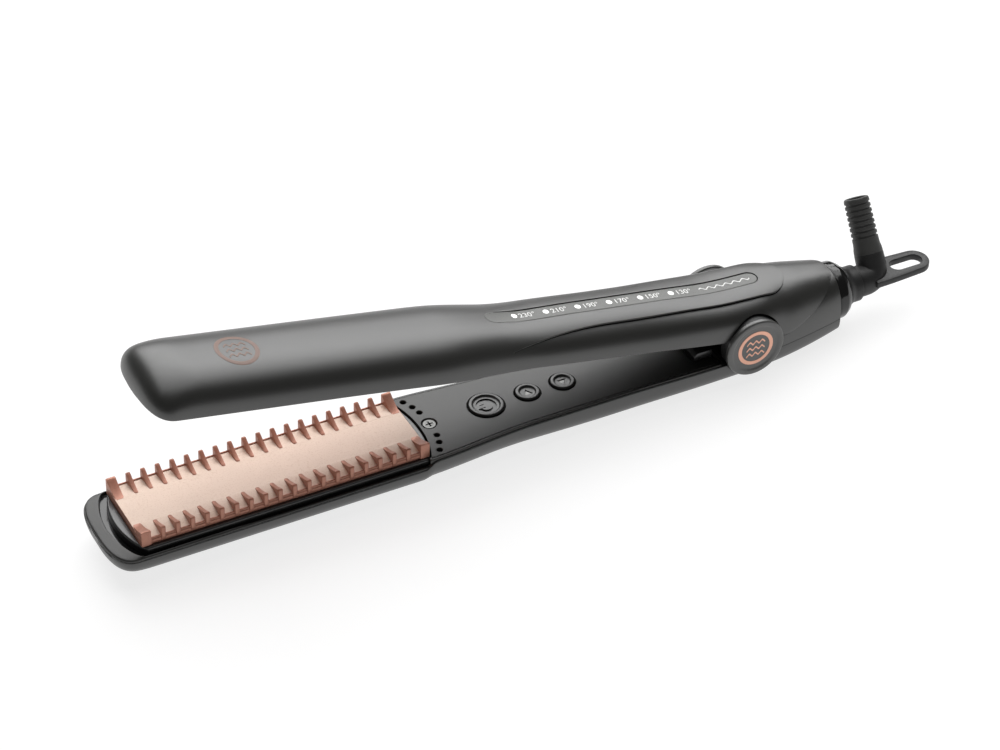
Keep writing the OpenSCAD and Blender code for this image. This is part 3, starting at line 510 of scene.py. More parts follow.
def stations(tip, rear, extra):
    """Places of the shell's rings: dense at the tip, then even, plus the extra ones."""
    front = [tip + 0.02 + 16 * (i / 26) ** 2.2 for i in range(26)]
    steps = int((rear - tip - 16) / 1.5)
    body = [tip + 16 + (rear - tip - 16) * i / steps for i in range(steps + 1)]
    merged = sorted([tip + 0.0005] + front + body + extra)
    out = [merged[0]]
    for x in merged[1:]:
        if x - out[-1] > 0.012:
            out.append(x)
    return out


TAIL_SEAM_LOW = 2
TAIL_SEAM_RISE = 15.2
TAIL_SEAM_POWER = 1.35
UPPER_NOTCH = EAR_RADIUS + 0.5


def seam_height(x):
    """Lower edge of the upper arm's tail."""
    u = clamp01((x - SEAM_FRONT) / (TAIL_END - SEAM_FRONT))
    return TAIL_SEAM_LOW + TAIL_SEAM_RISE * u ** TAIL_SEAM_POWER


def upper_edge(x):
    """Lowest point of the upper shell's wall at x: rim, round notch for the ear, then the seam."""
    edge = upper_base(x) if x < 0 else seam_height(x)
    if abs(x) >= UPPER_NOTCH:
        return edge
    return max(upper_base(x) if x < 0 else TAIL_SEAM_LOW, math.sqrt(UPPER_NOTCH ** 2 - x * x))


def leaned(p):
    """The upper arm's tip leans forward: its crown reaches further than its rim."""
    x, y, z = p
    return (x - TIP_LEAN * (z - LEAN_MID) * (1 - ease(x, UPPER_TIP, UPPER_TIP + 14)), y, z)


def make_upper_shell():
    extra = [-UPPER_NOTCH * math.cos(math.radians(a)) for a in range(20, 161, 4)]
    extra += [SEAM_FRONT + (TAIL_END - SEAM_FRONT) * (1 - (1 - i / 30) ** 2) for i in range(30)]
    rings = []
    for x in stations(UPPER_TIP, TAIL_END - 0.02, extra):
        w = half_width(x, UPPER_TIP) + tail_proud(x)
        b = upper_base(x)
        h = upper_crown(x)
        low = min(max(upper_edge(x), b), h - 0.01)
        wall = WALL * (1 - 0.45 * ease(x, 2, 12))
        rings.append([leaned(p) for p in shell_ring(x, UPPER_TIP, w, b, h, low, wall, 1)])
    obj = to_object("upper_shell_skin", loft(rings), UPPER, SATIN)
    return finish_mesh(obj, "upper_arm", "upper_shell")


def make_lower_shell():
    notch = EAR_RADIUS + 0.25
    extra = [-notch * math.cos(math.radians(a)) for a in range(20, 161, 4)]
    rings = []
    for x in stations(LOWER_TIP, REAR, extra):
        w = half_width(x, LOWER_TIP)
        b = rim_z(x)
        h = b + (lower_body_depth(x) - b) * nose(x, LOWER_TIP + 14, LOWER_TIP, 2.3)
        low = b
        if abs(x) < notch:
            low = min(max(b, math.sqrt(notch * notch - x * x)), h - 0.5)
        rings.append(shell_ring(x, LOWER_TIP, w, b, h, low, WALL, -1, 0.5 / (PLATE_DEPTH - b)))
    obj = to_object("lower_shell_skin", loft(rings), LOWER, SATIN)
    return finish_mesh(obj, "base", "lower_shell")


make_upper_shell()
make_lower_shell()

# ---------------------------------------------------------------- outlines
def bow_depth(r, half):
    return r - math.sqrt(r * r - half * half)


def holder_outline(front, rear, half):
    """Plan of a plate holder: straight sides, bowed ends, softened corners."""
    def points(inset):
        h = half - inset
        steps, n = 28, 40
        ys = [h * math.sin(math.pi / 2 * (2 * k / steps - 1)) for k in range(steps + 1)]

        def end(x, sign, bow):
            return [(x + sign * (bow_depth(bow, abs(y)) + HOLDER_CORNER * (abs(y) / h) ** 16), y) for y in ys]
        ahead, behind = end(front + inset, 1, FRONT_BOW), end(rear - inset, -1, REAR_BOW)[::-1]
        x0, x1 = ahead[-1][0], behind[0][0]
        near = [(x0 + (x1 - x0) * k / n, h) for k in range(1, n)]
        return ahead + near + behind + [(x1 + (x0 - x1) * k / n, -h) for k in range(1, n)]
    return points


def plan_outline(x0, x1, tip, inset0, steps=90, dense_tip=False):
    """Plan of the arm between two stations, pulled in by an inset."""
    def points(inset):
        total = inset0 + inset
        if dense_tip:
            xs = [tip + 0.03 + (x1 - tip) * (i / steps) ** 2 for i in range(steps + 1)]
            side = [(x + total, max(half_width(x, tip) - total, 0.02)) for x in xs]
        else:
            low, high = x0 + inset, x1 - inset
            xs = [low + (high - low) * i / steps for i in range(steps + 1)]
            side = [(x, half_width(x, tip) - total) for x in xs]
        return side + [(x, -y) for x, y in side[::-1]]
    return points


def rounded_layers(low, high, r, foot=0.0):
    """Layers of a slab from low to high with its upper edge rounded by r."""
    layers = [(low, foot)]
    for k in range(5):
        t = math.radians(90 * k / 4)
        layers.append((high - r + r * math.sin(t), r * (1 - math.cos(t))))
    return layers


def drill(name, x, y, profile, steps, matrix):
    """Round cutter at (x, y) from a (radius, height) profile."""
    bm = lathe(profile, steps)
    bmesh.ops.translate(bm, verts=bm.verts, vec=(x, y, 0))
    return to_object(name, bm, matrix, HOLDER_BLACK)


def flared(radius, chamfer):
    """Profile of a hole through an inner face, flared where it leaves the face."""
    wide = radius + chamfer
    return [(0, BELOW), (radius, BELOW), (radius, FLARE_TOP - chamfer),
            (wide, FLARE_TOP), (wide, ABOVE), (0, ABOVE)]


def prism(name, points, low, high, matrix):
    """Upright cutter from an XY outline."""
    return to_object(name, loft([[(x, y, z) for x, y in points] for z in (low, high)]), matrix, HOLDER_BLACK)


def side_prism(name, points, half, matrix):
    """Solid from an XZ outline, as wide as +-half."""
    block = loft([[(x, y, z) for x, z in points] for y in (-half, half)])
    return to_object(name, block, matrix, HOLDER_BLACK)


def rectangle(x0, x1, y0, y1):
    return [(x0, y0), (x1, y0), (x1, y1), (x0, y1)]


# ---------------------------------------------------------------- inner faces
VENTS = ((-116.2, 13.4), (-114.6, 9.85), (-113.7, 6.35))
FACE_SCREW_X = -113.3
COVER_REAR = -11.7
BELOW = -14
ABOVE = 2
FLARE_TOP = -FACE + 0.03
BUTTONS = (("power_button", -92.4, 5.9), ("up_button", -77.1, 4.1), ("down_button", -64.0, 4.1))


def face_drills(matrix, buttons):
    """Cutters for the vents, the screw's stepped hole and the button holes."""
    out = [drill("vent", x, side * y, flared(0.95, 0.25), 32, matrix) for x, y in VENTS for side in (-1, 1)]
    seat, wide = -FACE - 1.2, 2.83
    stepped = [(0, BELOW), (1.6, BELOW), (1.6, seat), (2.5, seat), (2.5, -FACE - 0.3), (wide, FLARE_TOP),
               (wide, ABOVE), (0, ABOVE)]
    out.append(drill("screw_hole", FACE_SCREW_X, 0, stepped, 48, matrix))
    return out + [drill("button_hole", x, 0, flared(r + 0.35, 0.33), 72, matrix) for _, x, r in buttons]


def make_lower_face():
    """Handle face from the neck to the hinge."""
    # Rounded border, then the fine groove that makes the double joint line
    steps_in = ((0.36, 0), (0.2, 0.1), (0.14, 0.28), (0.14, 0.92),
                (0.42, 0.95), (0.42, 1.08), (0.1, 1.12), (0, 1.3))
    face = stack(plan_outline(NECK_START, COVER_REAR, LOWER_TIP, 0.62),
                 [(-HANDLE_RIM - 0.7, 0)] + [(-FACE - drop, inset) for drop, inset in steps_in])
    obj = to_object("lower_face_cover", face, LOWER, SATIN_INNER)
    hole = holder_outline(HOLDER_FRONT, HOLDER_REAR, HOLDER_HALF_WIDTH)(-0.35)
    cut(obj, face_drills(LOWER, BUTTONS) + [prism("hole", hole, -20, 20, LOWER)])
    bevelled(obj, 0.18, 2, 50)
    finish_mesh(obj, "base", "lower_inner_cover", weighted=True)


def make_plate_rim():
    """Rim round the plate: rises from the parting line, crests, falls to the groove beside the holder."""
    steps = 120
    rings = [rim_ring(2 * i / steps - 1) for i in range(steps + 1)]
    rim = to_object("lower_plate_rim", loft(rings), LOWER, [SATIN_INNER, GLOSS_BLACK])
    floor_z = -PLATE_RIM + 0.35
    back = LOWER.inverted()
    for face in rim.data.polygons:
        c = back @ face.center
        if c.z < floor_z and (c.x > LOWER_TIP + 3 or abs(c.y) < 12) and is_gutter(c):
            face.material_index = 1
    return finish_mesh(rim, "base", None)


def is_gutter(c):
    """True on the inner half of the rim strip, next to the holder."""
    def away(px, py):
        return math.hypot(px - c.x, py - c.y)
    best = min((away((o[0] + i[0]) / 2, (o[1] + i[1]) / 2), away(*i), away(*o))
               for o, i in (rim_path(k / 40 - 1) for k in range(81)))
    return best[1] < best[2]


def rim_path(u):
    """Outer plan point of the U-shaped rim and the holder's point beside it. u runs -1..1 round the nose."""
    t = abs(u)
    gap = 0.1
    front = HOLDER_FRONT - gap
    if t < 0.5:
        a = math.pi * t
        x = LOWER_TIP + NOSE_LENGTH * (1 - math.cos(a) ** (2 / NOSE_POWER)) + 0.02
        y = body_half_width(x) * math.sin(a) ** (2 / NOSE_POWER) if a else 0.0
        inner_y = (HOLDER_HALF_WIDTH + gap) * min(1.0, math.sin(a) ** 1.05)
        bow = bow_depth(FRONT_BOW, min(inner_y, HOLDER_HALF_WIDTH))
        inner_x = front + bow + HOLDER_CORNER * (inner_y / (HOLDER_HALF_WIDTH + gap)) ** 16
    else:
        v = 2 * t - 1
        x = LOWER_TIP + NOSE_LENGTH + (NECK_START - LOWER_TIP - NOSE_LENGTH) * v
        y = half_width(x, LOWER_TIP)
        corner = front + bow_depth(FRONT_BOW, HOLDER_HALF_WIDTH) + HOLDER_CORNER
        inner_x = corner + (NECK_START - corner) * v
        inner_y = HOLDER_HALF_WIDTH + gap
    s = math.copysign(1, u) if u else 0.0
    return (x, s * y), (inner_x, s * inner_y)


def rim_ring(u):
    """Cross-section of the rim at path position u: lip, sloping plateau, crest, gutter."""
    (ox, oy), (ix, iy) = rim_path(u)
    span = math.hypot(ix - ox, iy - oy)
    profile = [(1.1, -1.1), (0.38, 0), (0.36, 0.3), (0.48, 0.62), (0.74, 0.82)]
    gutter = min(1.35 + 1.1 * clamp01((0.62 - abs(u)) / 0.2), 0.62 * span)
    crest = span - gutter
    rise = 1.0 + 0.35 * clamp01((span - 2.2) / 2.5)
    profile += [(0.95 + (crest - 1.3) * k / 6, 0.9 + (rise - 0.9) * k / 6) for k in range(7)]
    profile += [(crest - 0.12, rise - 0.04), (crest + 0.06, rise - 0.22), (crest + 0.12, rise - 0.55),
                (crest + 0.2, 0.05), (crest + 0.32, -0.2), (span, -0.25), (span, -1.1)]
    return [(ox + (ix - ox) * d / span, oy + (iy - oy) * d / span, z - PLATE_RIM) for d, z in profile]


make_lower_face()
make_plate_rim()


def make_upper_face():
    face = stack(plan_outline(0, COVER_REAR - WALL - 0.3, UPPER_TIP, WALL + 0.12, 110, True),
                 rounded_layers(-FACE - 1.0, -FACE, 0.4))
    obj = to_object("upper_face_cover", face, UPPER @ FLIP, SATIN_INNER)
    outline = holder_outline(UPPER_PLATE_FRONT - HOLDER_AHEAD, UPPER_PLATE_REAR + HOLDER_BEHIND,
                             UPPER_HOLDER_HALF)
    hole = outline(-0.35)
    cut(obj, face_drills(UPPER @ FLIP, ()) + [prism("hole", hole, -20, 20, UPPER @ FLIP)])
    bevelled(obj, 0.18, 2, 50)
    return finish_mesh(obj, "upper_arm", "upper_inner_cover", weighted=True)


make_upper_face()

# ---------------------------------------------------------------- plate holders
def make_holder(name, body, plate_front, plate_rear, half, pocket, matrix):
    outline = holder_outline(plate_front - HOLDER_AHEAD, plate_rear + HOLDER_BEHIND, half)
    bm = stack(outline, [(-HOLDER_TOP - 5.0, 1.6)] + rounded_layers(-HOLDER_TOP - 3.4, -HOLDER_TOP, 0.7))
    obj = to_object(name, bm, matrix, HOLDER_BLACK)
    opening = rectangle(plate_front - 0.2, plate_rear + 0.2, -pocket, pocket)
    cut(obj, [prism("pocket", opening, -20, 20, matrix)])
    return finish_mesh(obj, body, name.replace("_holder", "_plate_holder"), weighted=True)


make_holder("lower_holder", "base", PLATE_FRONT, PLATE_REAR, HOLDER_HALF_WIDTH, 12.6, LOWER)
make_holder("upper_holder", "upper_arm", UPPER_PLATE_FRONT, UPPER_PLATE_REAR, UPPER_HOLDER_HALF, 11.6,
            UPPER @ FLIP)

# ---------------------------------------------------------------- plates
CROWN_TOP = -2.0
CROWN_HALF = 6.8
LEDGE_TOP = -2.7
LEDGE_Y = PLATE_WIDTH / 2 - 0.45
BEAD_RADIUS = 0.38
TOOTH_TOP = 0.9
TOOTH_RUN = 8.1
TOOTH_LAND = 0.7
TOOTH_THICKNESS = 1.6
BARREL_REACH = 1.4
BARREL_RADIUS = 24
BARREL_HALF = 12.6
LOWER_FOOT = 12.3
UPPER_FOOT = 11.3


def crown_z(y):
    """Height of the plate between the teeth: flat in the middle, falling to a beaded ledge."""
    t = max(0.0, abs(y) - CROWN_HALF) / (LEDGE_Y - BEAD_RADIUS - CROWN_HALF)
    return CROWN_TOP - (CROWN_TOP - LEDGE_TOP) * t ** 1.6


def crown_section():
    """Closed YZ outline of the lower plate without its teeth."""
    inner = LEDGE_Y - BEAD_RADIUS
    right = [(y, crown_z(y)) for y in [(inner - 0.55) * k / 26 for k in range(27)]]
    right.append((inner - 0.36, crown_z(inner - 0.36) + 0.02))
    for k in range(13):
        a = math.radians(150 - 15 * k)
        right.append((inner + BEAD_RADIUS * math.cos(a), LEDGE_TOP + 0.06 + BEAD_RADIUS * math.sin(a)))
    right += [(LEDGE_Y - 0.16, LEDGE_TOP - 0.42), (LEDGE_Y, LEDGE_TOP - 0.55), (LEDGE_Y, -HOLDER_TOP + 0.1),
              (LEDGE_Y - 0.05, -HOLDER_TOP), (LOWER_FOOT, -HOLDER_TOP), (LOWER_FOOT, -HOLDER_TOP - 2)]
    left = [(-y, z) for y, z in right[1:]][::-1]
    return left + right


def tooth_ridge(y):
    """Height of a tooth's ridge: concave run from the crest down to the crown."""
    u = clamp01((PLATE_WIDTH / 2 - TOOTH_LAND - y) / (TOOTH_RUN - TOOTH_LAND))
    return CROWN_TOP + 0.05 + (TOOTH_TOP - CROWN_TOP - 0.05) * (1 - u) ** 1.45


def tooth_mesh(bm, x, width, side, block=False):
    """One tooth: round outer pillar, crest and ridge with broken edges, blunt inner end, round foot."""
    half = PLATE_WIDTH / 2
    low = -HOLDER_TOP + 0.15 if block else LEDGE_TOP - 1.0
    # Outer end, from the face inward: (depth in from the face, share of the full width, drop of the crest)
    ends = [(0.0, 0.55, 0.42), (0.05, 0.72, 0.24), (0.16, 0.88, 0.1), (0.34, 0.98, 0.03), (0.6, 1.0, 0.0)]
    if block:
        ends = [(0.0, 0.9, 0.22), (0.06, 0.96, 0.1), (0.16, 0.99, 0.03), (0.3, 1.0, 0.0), (0.6, 1.0, 0.0)]
    sections = []
    for d, share, drop in ends:
        foot = low if block else low + 0.55 * (1 - clamp01(d / 0.4)) ** 2 - 0.2 * clamp01(d / 0.4)
        sections.append((half - d, share, TOOTH_TOP - drop, foot))
    steps = 18
    for k in range(1, steps + 1):
        u = k / steps
        y = half - 0.6 - (TOOTH_RUN - 0.6) * u
        v = 0 if block else clamp01((u - 0.88) / 0.12)
        share = (1 - 0.12 * u) * math.sqrt(max(0.02, 1 - v * v))
        sections.append((y, share, tooth_ridge(y) - 0.25 * v * v, low - 0.2))
    rings = []
    for y, share, top, foot in sections:
        w = width / 2 * share
        r = min(0.3, w * 0.55)
        right = [(w - r, top), (w - r * 0.29, top - r * 0.29), (w, top - r), (w, foot)]
        outline = [(-dx, z) for dx, z in right[::-1]] + right
        rings.append([(x + dx, side * y, z) for dx, z in outline])
    loft(rings, bm=bm)


def tooth_x(i):
    """Place of the lower plate's tooth i along the arm."""
    return PLATE_CENTRE + (i - (LOWER_TEETH - 1) / 2) * TOOTH_PITCH


def make_lower_plate():
    section = crown_section()
    soft = 0.12
    ends = [(PLATE_FRONT, soft), (PLATE_FRONT + soft, 0), (PLATE_REAR - soft, 0), (PLATE_REAR, soft)]
    body = loft([[(x, y * (1 - e / 14), z - e * 0.6) for y, z in section] for x, e in ends])
    obj = to_object("lower_plate_body", body, LOWER, PLATE_COPPER)
    bm = bmesh.new()
    for s in (-1, 1):
        for i in range(LOWER_TEETH):
            tooth_mesh(bm, tooth_x(i), TOOTH_THICKNESS, s)
        for end in (-1, 1):
            tooth_mesh(bm, PLATE_CENTRE + end * (PLATE_LENGTH / 2 - 1.68), 3.3, s, True)
    cut(obj, [to_object("teeth", bm, LOWER, PLATE_COPPER)], "UNION")
    paint_pale(obj)
    return finish_mesh(obj, "base", "lower_plate", 28)


def paint_pale(obj):
    """Gives the faces that lie on the lower plate's working surface the pale ceramic."""
    obj.data.materials.append(PLATE_PALE)
    back = LOWER.inverted()
    for face in obj.data.polygons:
        c = back @ face.center
        n = (back.to_3x3() @ face.normal).normalized()
        if abs(c.y) < LEDGE_Y - BEAD_RADIUS - 0.3 and n.z > 0.6 and abs(c.z - crown_z(c.y)) < 0.03:
            face.material_index = 1


def make_upper_plate():
    ys = [BARREL_HALF * k / 16 for k in range(-16, 17)]
    section = [(y, BARREL_REACH - BARREL_RADIUS + math.sqrt(BARREL_RADIUS ** 2 - y * y)) for y in ys]
    right = [(BARREL_HALF, -HOLDER_TOP), (UPPER_FOOT, -HOLDER_TOP), (UPPER_FOOT, -HOLDER_TOP - 2)]
    section = [(-y, z) for y, z in right[::-1]] + section + right
    body = loft([[(x, y, z) for y, z in section] for x in (UPPER_PLATE_FRONT, UPPER_PLATE_REAR)])
    obj = to_object("upper_barrel_plate", body, UPPER @ FLIP, PLATE_COPPER)
    bm = bmesh.new()
    half = TOOTH_THICKNESS / 2 + 0.4
    for x in [tooth_x(i) for i in range(1, LOWER_TEETH)]:
        for s in (-1, 1):
            gap = rectangle(x - half, x + half, -1.5, 7)
            loft([[(px, s * y, z) for px, z in gap] for y in (4.9, 14)], bm=bm)
    cut(obj, [to_object("slots", bm, UPPER @ FLIP, PLATE_COPPER)])
    bevelled(obj, 0.2, 2, 40)
    return finish_mesh(obj, "upper_arm", "upper_plate", 28)


make_lower_plate()
make_upper_plate()


# ---------------------------------------------------------------- buttons
BUTTON_TOP = -3.7
DISH_FLOOR = BUTTON_TOP - 0.66


def make_button(node, x, r):
    """Capped button with a rounded rim and a stepped dish, its sign cut into the dish."""
    inner = r - 1.0
    profile = [(0, -7.6), (1.4, -7.6), (1.5, -7.2), (r + 0.7, -7.2), (r + 0.7, -6.4), (r, -6.4)]
    profile.append((r, BUTTON_TOP - 0.45))
    profile += quarter(0.45, r - 0.45, BUTTON_TOP - 0.45, (22, 45, 68, 90)) + [(inner, BUTTON_TOP)]
    for d, drop in ((0.08, 0.03), (0.2, 0.12), (0.42, 0.36), (0.6, 0.5), (0.8, 0.57), (1.1, 0.6)):
        profile.append((inner - d, BUTTON_TOP - drop))
    bm = lathe(profile + [(0, DISH_FLOOR)])
    bmesh.ops.translate(bm, verts=bm.verts, vec=(x, 0, 0))
    obj = to_object(node + "_cap", bm, LOWER, SATIN_BUTTON)
    if node == "power_button":
        cut(obj, power_cutters(x))
    else:
        make_arrow(obj, node, x, 1 if node == "up_button" else -1)
    finish_mesh(obj, node, node)


def make_arrow(cap, node, x, side):
    """Pocket with a paler inlay that points to side."""
    triangle = [(-1.65, -side * 1.15), (1.65, -side * 1.15), (0, side * 1.6)]
    pocket = [(x + px, py) for px, py in triangle]
    cut(cap, [prism("arrow", pocket, BUTTON_TOP - 1.25, BUTTON_TOP + 1, LOWER)])
    levels = (BUTTON_TOP - 1.35, BUTTON_TOP - 0.9)
    bm = loft([[(x + px * 0.8, py * 0.8, z) for px, py in triangle] for z in levels])
    mark = to_object(node + "_mark", bm, LOWER, MARK_GREY)
    bevelled(mark, 0.1, 2, 30)
    finish_mesh(mark, node, None)


def power_cutters(x):
    """Engraved power sign: a broad ring open towards the plates, with a bar left standing in its opening."""
    low, high = DISH_FLOOR - 0.4, DISH_FLOOR + 2
    rings = []
    for k in range(49):
        a = math.radians(180 + 15 + (360 - 30) * k / 48)
        rings.append([(x + r * math.cos(a), r * math.sin(a), z)
                      for r, z in ((2.25, low), (3.45, low), (3.5, high), (2.2, high))])
    slits = [rectangle(x - 2.05, x - 0.5, side * 0.62, side * 0.95) for side in (-1, 1)]
    return ([to_object("power_ring", loft(rings), LOWER, SATIN_BUTTON)]
            + [prism("power_slit", slit, DISH_FLOOR - 0.33, DISH_FLOOR + 1.9, LOWER) for slit in slits])


for button_node, button_x, button_r in BUTTONS:
    make_button(button_node, button_x, button_r)


# ---------------------------------------------------------------- hinge caps
CAP_SEAT = 15.75


def cap_matrix(side):
    """Z of the result points out along +Y or -Y from the hinge axis."""
    return LOWER @ (Matrix.Rotation(math.radians(-90 * side), 4, "X"))


def make_caps():
    top = CAP_SEAT + 1.9
    profile = [(0, CAP_SEAT + 0.6), (3, CAP_SEAT + 0.6), (3, CAP_SEAT), (CAP_RADIUS - 0.35, CAP_SEAT),
               (CAP_RADIUS, CAP_SEAT + 0.35), (CAP_RADIUS, CAP_SEAT + 1.15)]
    profile += quarter(0.7, CAP_RADIUS - 0.7, top - 0.7, (12, 30, 50, 70, 90))
    profile += [(CAP_RADIUS - 1.5, top), (CAP_RADIUS - 1.9, top - 0.12), (CAP_RADIUS - 2.3, top - 0.4),
                (CAP_RADIUS - 2.7, top - 0.48), (6, top - 0.42), (3, top - 0.40), (0, top - 0.40)]
    for side, node in ((1, "left_hinge_cap"), (-1, "right_hinge_cap")):
        obj = to_object(node + "_disc", lathe(profile, 160), cap_matrix(side), SATIN_CAP)
        finish_mesh(obj, "base", node)
        sign = emblem(6.7, lambda x, y: top - 0.46, 0.13, 0, 0)
        mark = to_object(node + "_emblem", sign, cap_matrix(side), COPPER_PRINT)
        finish_mesh(mark, "base", "cap_badges")


def closed_loft(rings, bm):
    """Skins rings whose last ring joins the first."""
    rows = [[bm.verts.new(p) for p in ring] for ring in rings]
    for p, q in zip(rows, rows[1:] + rows[:1]):
        for j in range(len(p)):
            n = (j + 1) % len(p)
            bm.faces.new((p[j], p[n], q[n], q[j]))


def emblem(radius, surface, rise, cx, cy):
    """A ring round three crimp waves, lying on surface(x, y)."""
    def on_surface(points):
        return [(x, y, surface(x, y) + dz) for x, y, dz in points]

    bm = bmesh.new()
    band = ((0.80, -0.08), (0.80, rise * 0.7), (0.815, rise), (0.985, rise), (1, rise * 0.7), (1, -0.08))
    closed_loft([on_surface([(cx + radius * r * c, cy + radius * r * s, dz) for r, dz in band])
                 for c, s in circle(96)], bm)
    half = radius * 0.052
    line = ((-1, -0.08), (-1, rise * 0.8), (-0.7, rise), (0.7, rise), (1, rise * 0.8), (1, -0.08))
    for row in (-1, 0, 1):
        wave = []
        for k in range(49):
            t = -3 + k / 8
            x = cx + t * radius * 0.175
            y = cy + row * radius * 0.36 + radius * 0.075 * math.sin(math.pi * t + math.pi / 2)
            thin = 1 if 0 < k < 48 else 0.55
            wave.append(on_surface([(x, y + side * half * thin, dz) for side, dz in line]))
        loft(wave, bm=bm)
    return bm


make_caps()

BADGE_X = -187.0


def upper_top(x, y):
    """Outer surface of the upper shell over the point (x, y)."""
    w = half_width(x, UPPER_TIP) + tail_proud(x)
    return section_z(w, upper_base(x), upper_crown(x), y, upper_fullness(x))


arm_badge = to_object("arm_emblem", emblem(7.2, upper_top, 0.07, BADGE_X, -1.2), UPPER, COPPER_FADED)
finish_mesh(arm_badge, "upper_arm", "arm_badge")

# ---------------------------------------------------------------- display
PANEL_FRONT = -100.0
PANEL_REAR = 15.4
PANEL_HALF = 8.8
LENS_FRONT = -98.3
LENS_REAR = 6.3
LENS_HALF = 3.25


def panel_rise(x):
    return -0.06 + 0.96 * ease(x, PANEL_FRONT, -62)


def panel_y_angle(x):
    """Half angle of the raised panel round the section: sweeps down to the side at its front end."""
    w = body_half_width(x) + tail_proud(x)
    end = 1.0
    if x > PANEL_REAR - PANEL_HALF:
        end = math.sqrt(max(1e-4, 1 - ((x - PANEL_REAR + PANEL_HALF) / PANEL_HALF) ** 2))
    flat = math.asin((PANEL_HALF * end / w) ** (upper_fullness(x) / 2))
    return flat + (math.radians(80) - flat) * (1 - clamp01((x - PANEL_FRONT + 4) / 50)) ** 2.2


def shell_point(x, a, rise):
    """Point of the upper body at section angle a, lifted by rise along the section."""
    w = body_half_width(x) + tail_proud(x) + rise
    b = upper_base(x)
    h = upper_body_depth(x) + rise
    s, c = math.sin(a), abs(math.cos(a))
    e = upper_fullness(x)
    y = w * math.copysign(abs(s) ** (2 / e), s) if abs(s) > 1e-9 else 0.0
    return (x, y, b + (h - b) * c ** (2 / e))


def panel_ring(x, extra, rise, sunk, edge):
    """Closed ring: top from edge to edge, rounded down to below the shell's surface."""
    columns = 60
    half = panel_y_angle(x) + extra
    top = []
    for j in range(columns + 1):
        u = 2 * j / columns - 1
        u = math.sin(math.pi / 2 * u * 0.98) / math.sin(math.pi / 2 * 0.98)
        a = u * half
        near = clamp01((1 - abs(u)) * half * 13 / max(edge, 1e-3))
        top.append(shell_point(x, a, rise - edge * (1 - math.sqrt(1 - (1 - near) ** 2))))
    low = [shell_point(x, (2 * j / columns - 1) * half, sunk) for j in range(columns + 1)][::-1]
    return top + low


def panel_stations():
    front = [PANEL_FRONT + 8 * (i / 14) ** 1.6 for i in range(14)]
    mid = [PANEL_FRONT + 8 + (PANEL_REAR - PANEL_HALF - PANEL_FRONT - 8) * i / 70 for i in range(70)]
    rear = [PANEL_REAR - PANEL_HALF + PANEL_HALF * math.sin(math.pi / 2 * i / 24) * 0.9995 for i in range(25)]
    return front + mid + rear


def make_panel():
    rings = [panel_ring(x, 0, panel_rise(x), -0.5, 0.3) for x in panel_stations()]
    obj = to_object("display_panel_skin", loft(rings), UPPER, SATIN)
    slot = pill_points(LENS_FRONT, LENS_REAR, LENS_HALF)
    cut(obj, [prism("slot", slot, 6, 30, UPPER)])
    bevelled(obj, 0.12, 2, 50)
    finish_mesh(obj, "upper_arm", "display_panel", 40)
    # Narrow black strip that follows the panel's outline: painted shadow of the step and groove round the
    # panel
    rings = [panel_ring(x, 0.022 * ease(x, -96, -84), min(0.05, panel_rise(x) - 0.02), -0.4, 0.03)
             for x in panel_stations()]
    seam = to_object("display_panel_groove_shadow", loft(rings), UPPER, GLOSS_BLACK)
    return finish_mesh(seam, "upper_arm", None, 40)


def pill_points(x0, x1, r):
    """Outline with straight sides and half-round ends."""
    n = 60
    run = x1 - x0 - 2 * r
    return (quarter(r, x0 + r, 0, [90 + 7.5 * k for k in range(25)])
            + [(x0 + r + run * k / n, -r) for k in range(1, n)]
            + quarter(r, x1 - r, 0, [-90 + 7.5 * k for k in range(25)])
            + [(x1 - r - run * k / n, r) for k in range(1, n)])


LENS_DROP = 0.16


def lens_top(x, y):
    """Top surface of the lens strip."""
    rise = max(panel_rise(x) - LENS_DROP, 0.1)
    return section_z(body_half_width(x) + tail_proud(x) + rise, upper_base(x), upper_body_depth(x) + rise, y,
                     upper_fullness(x))


def make_lens():
    r = LENS_HALF - 0.3
    x0, x1 = LENS_FRONT + 0.3, LENS_REAR - 0.3
    xs = [x0 + r * (1 - math.cos(math.pi / 2 * k / 14)) + 0.002 for k in range(14)]
    xs += [x0 + r + (x1 - x0 - 2 * r) * k / 80 for k in range(81)]
    xs += [x1 - r * (1 - math.cos(math.pi / 2 * (14 - k) / 14)) - 0.002 for k in range(1, 15)]
    rings = []
    for x in xs:
        d = max(0.0, x0 + r - x, x - (x1 - r))
        half = math.sqrt(max(r * r - d * d, 0.0004))
        ring = []
        for j in range(17):
            u = 2 * j / 16 - 1
            y = half * math.sin(math.pi / 2 * u)
            drop = 0.15 * clamp01(1 - (half - abs(y)) / 0.2) ** 2
            ring.append((x, y, lens_top(x, y) - drop))
        ring += [(x, y, lens_top(x, y) - 1.1) for _, y, _ in ring[::-1]]
        rings.append(ring)
    obj = to_object("display_lens_strip", loft(rings), UPPER, LENS_SMOKE)
    return finish_mesh(obj, "upper_arm", "display_lens", 40)


def make_text(name, words, x, y, height, material):
    """Printed figures laid on the lens strip."""
    curve = bpy.data.curves.new(name, "FONT")
    curve.body = words
    curve.size = height * 1.38
    curve.extrude = 0.03
    curve.offset = 0.03
    curve.resolution_u = 6
    source = bpy.data.objects.new(name + "_source", curve)
    bpy.context.scene.collection.objects.link(source)
    bpy.context.view_layer.update()
    mesh = bpy.data.meshes.new_from_object(source.evaluated_get(bpy.context.evaluated_depsgraph_get()))
    bpy.data.objects.remove(source)
    bm = bmesh.new()
    bm.from_mesh(mesh)
    for v in bm.verts:
        px, py = x + v.co.x * 1.05, y + v.co.y
        v.co = (px, py, lens_top(px, py) + 0.015 + v.co.z)
    obj = to_object(name, bm, UPPER, material)
    bpy.data.meshes.remove(mesh)
    return finish_mesh(obj, "upper_arm", None)


LIGHT_X = [-87.2 + 12 * k for k in range(6)]
LIGHT_Y = 0.1


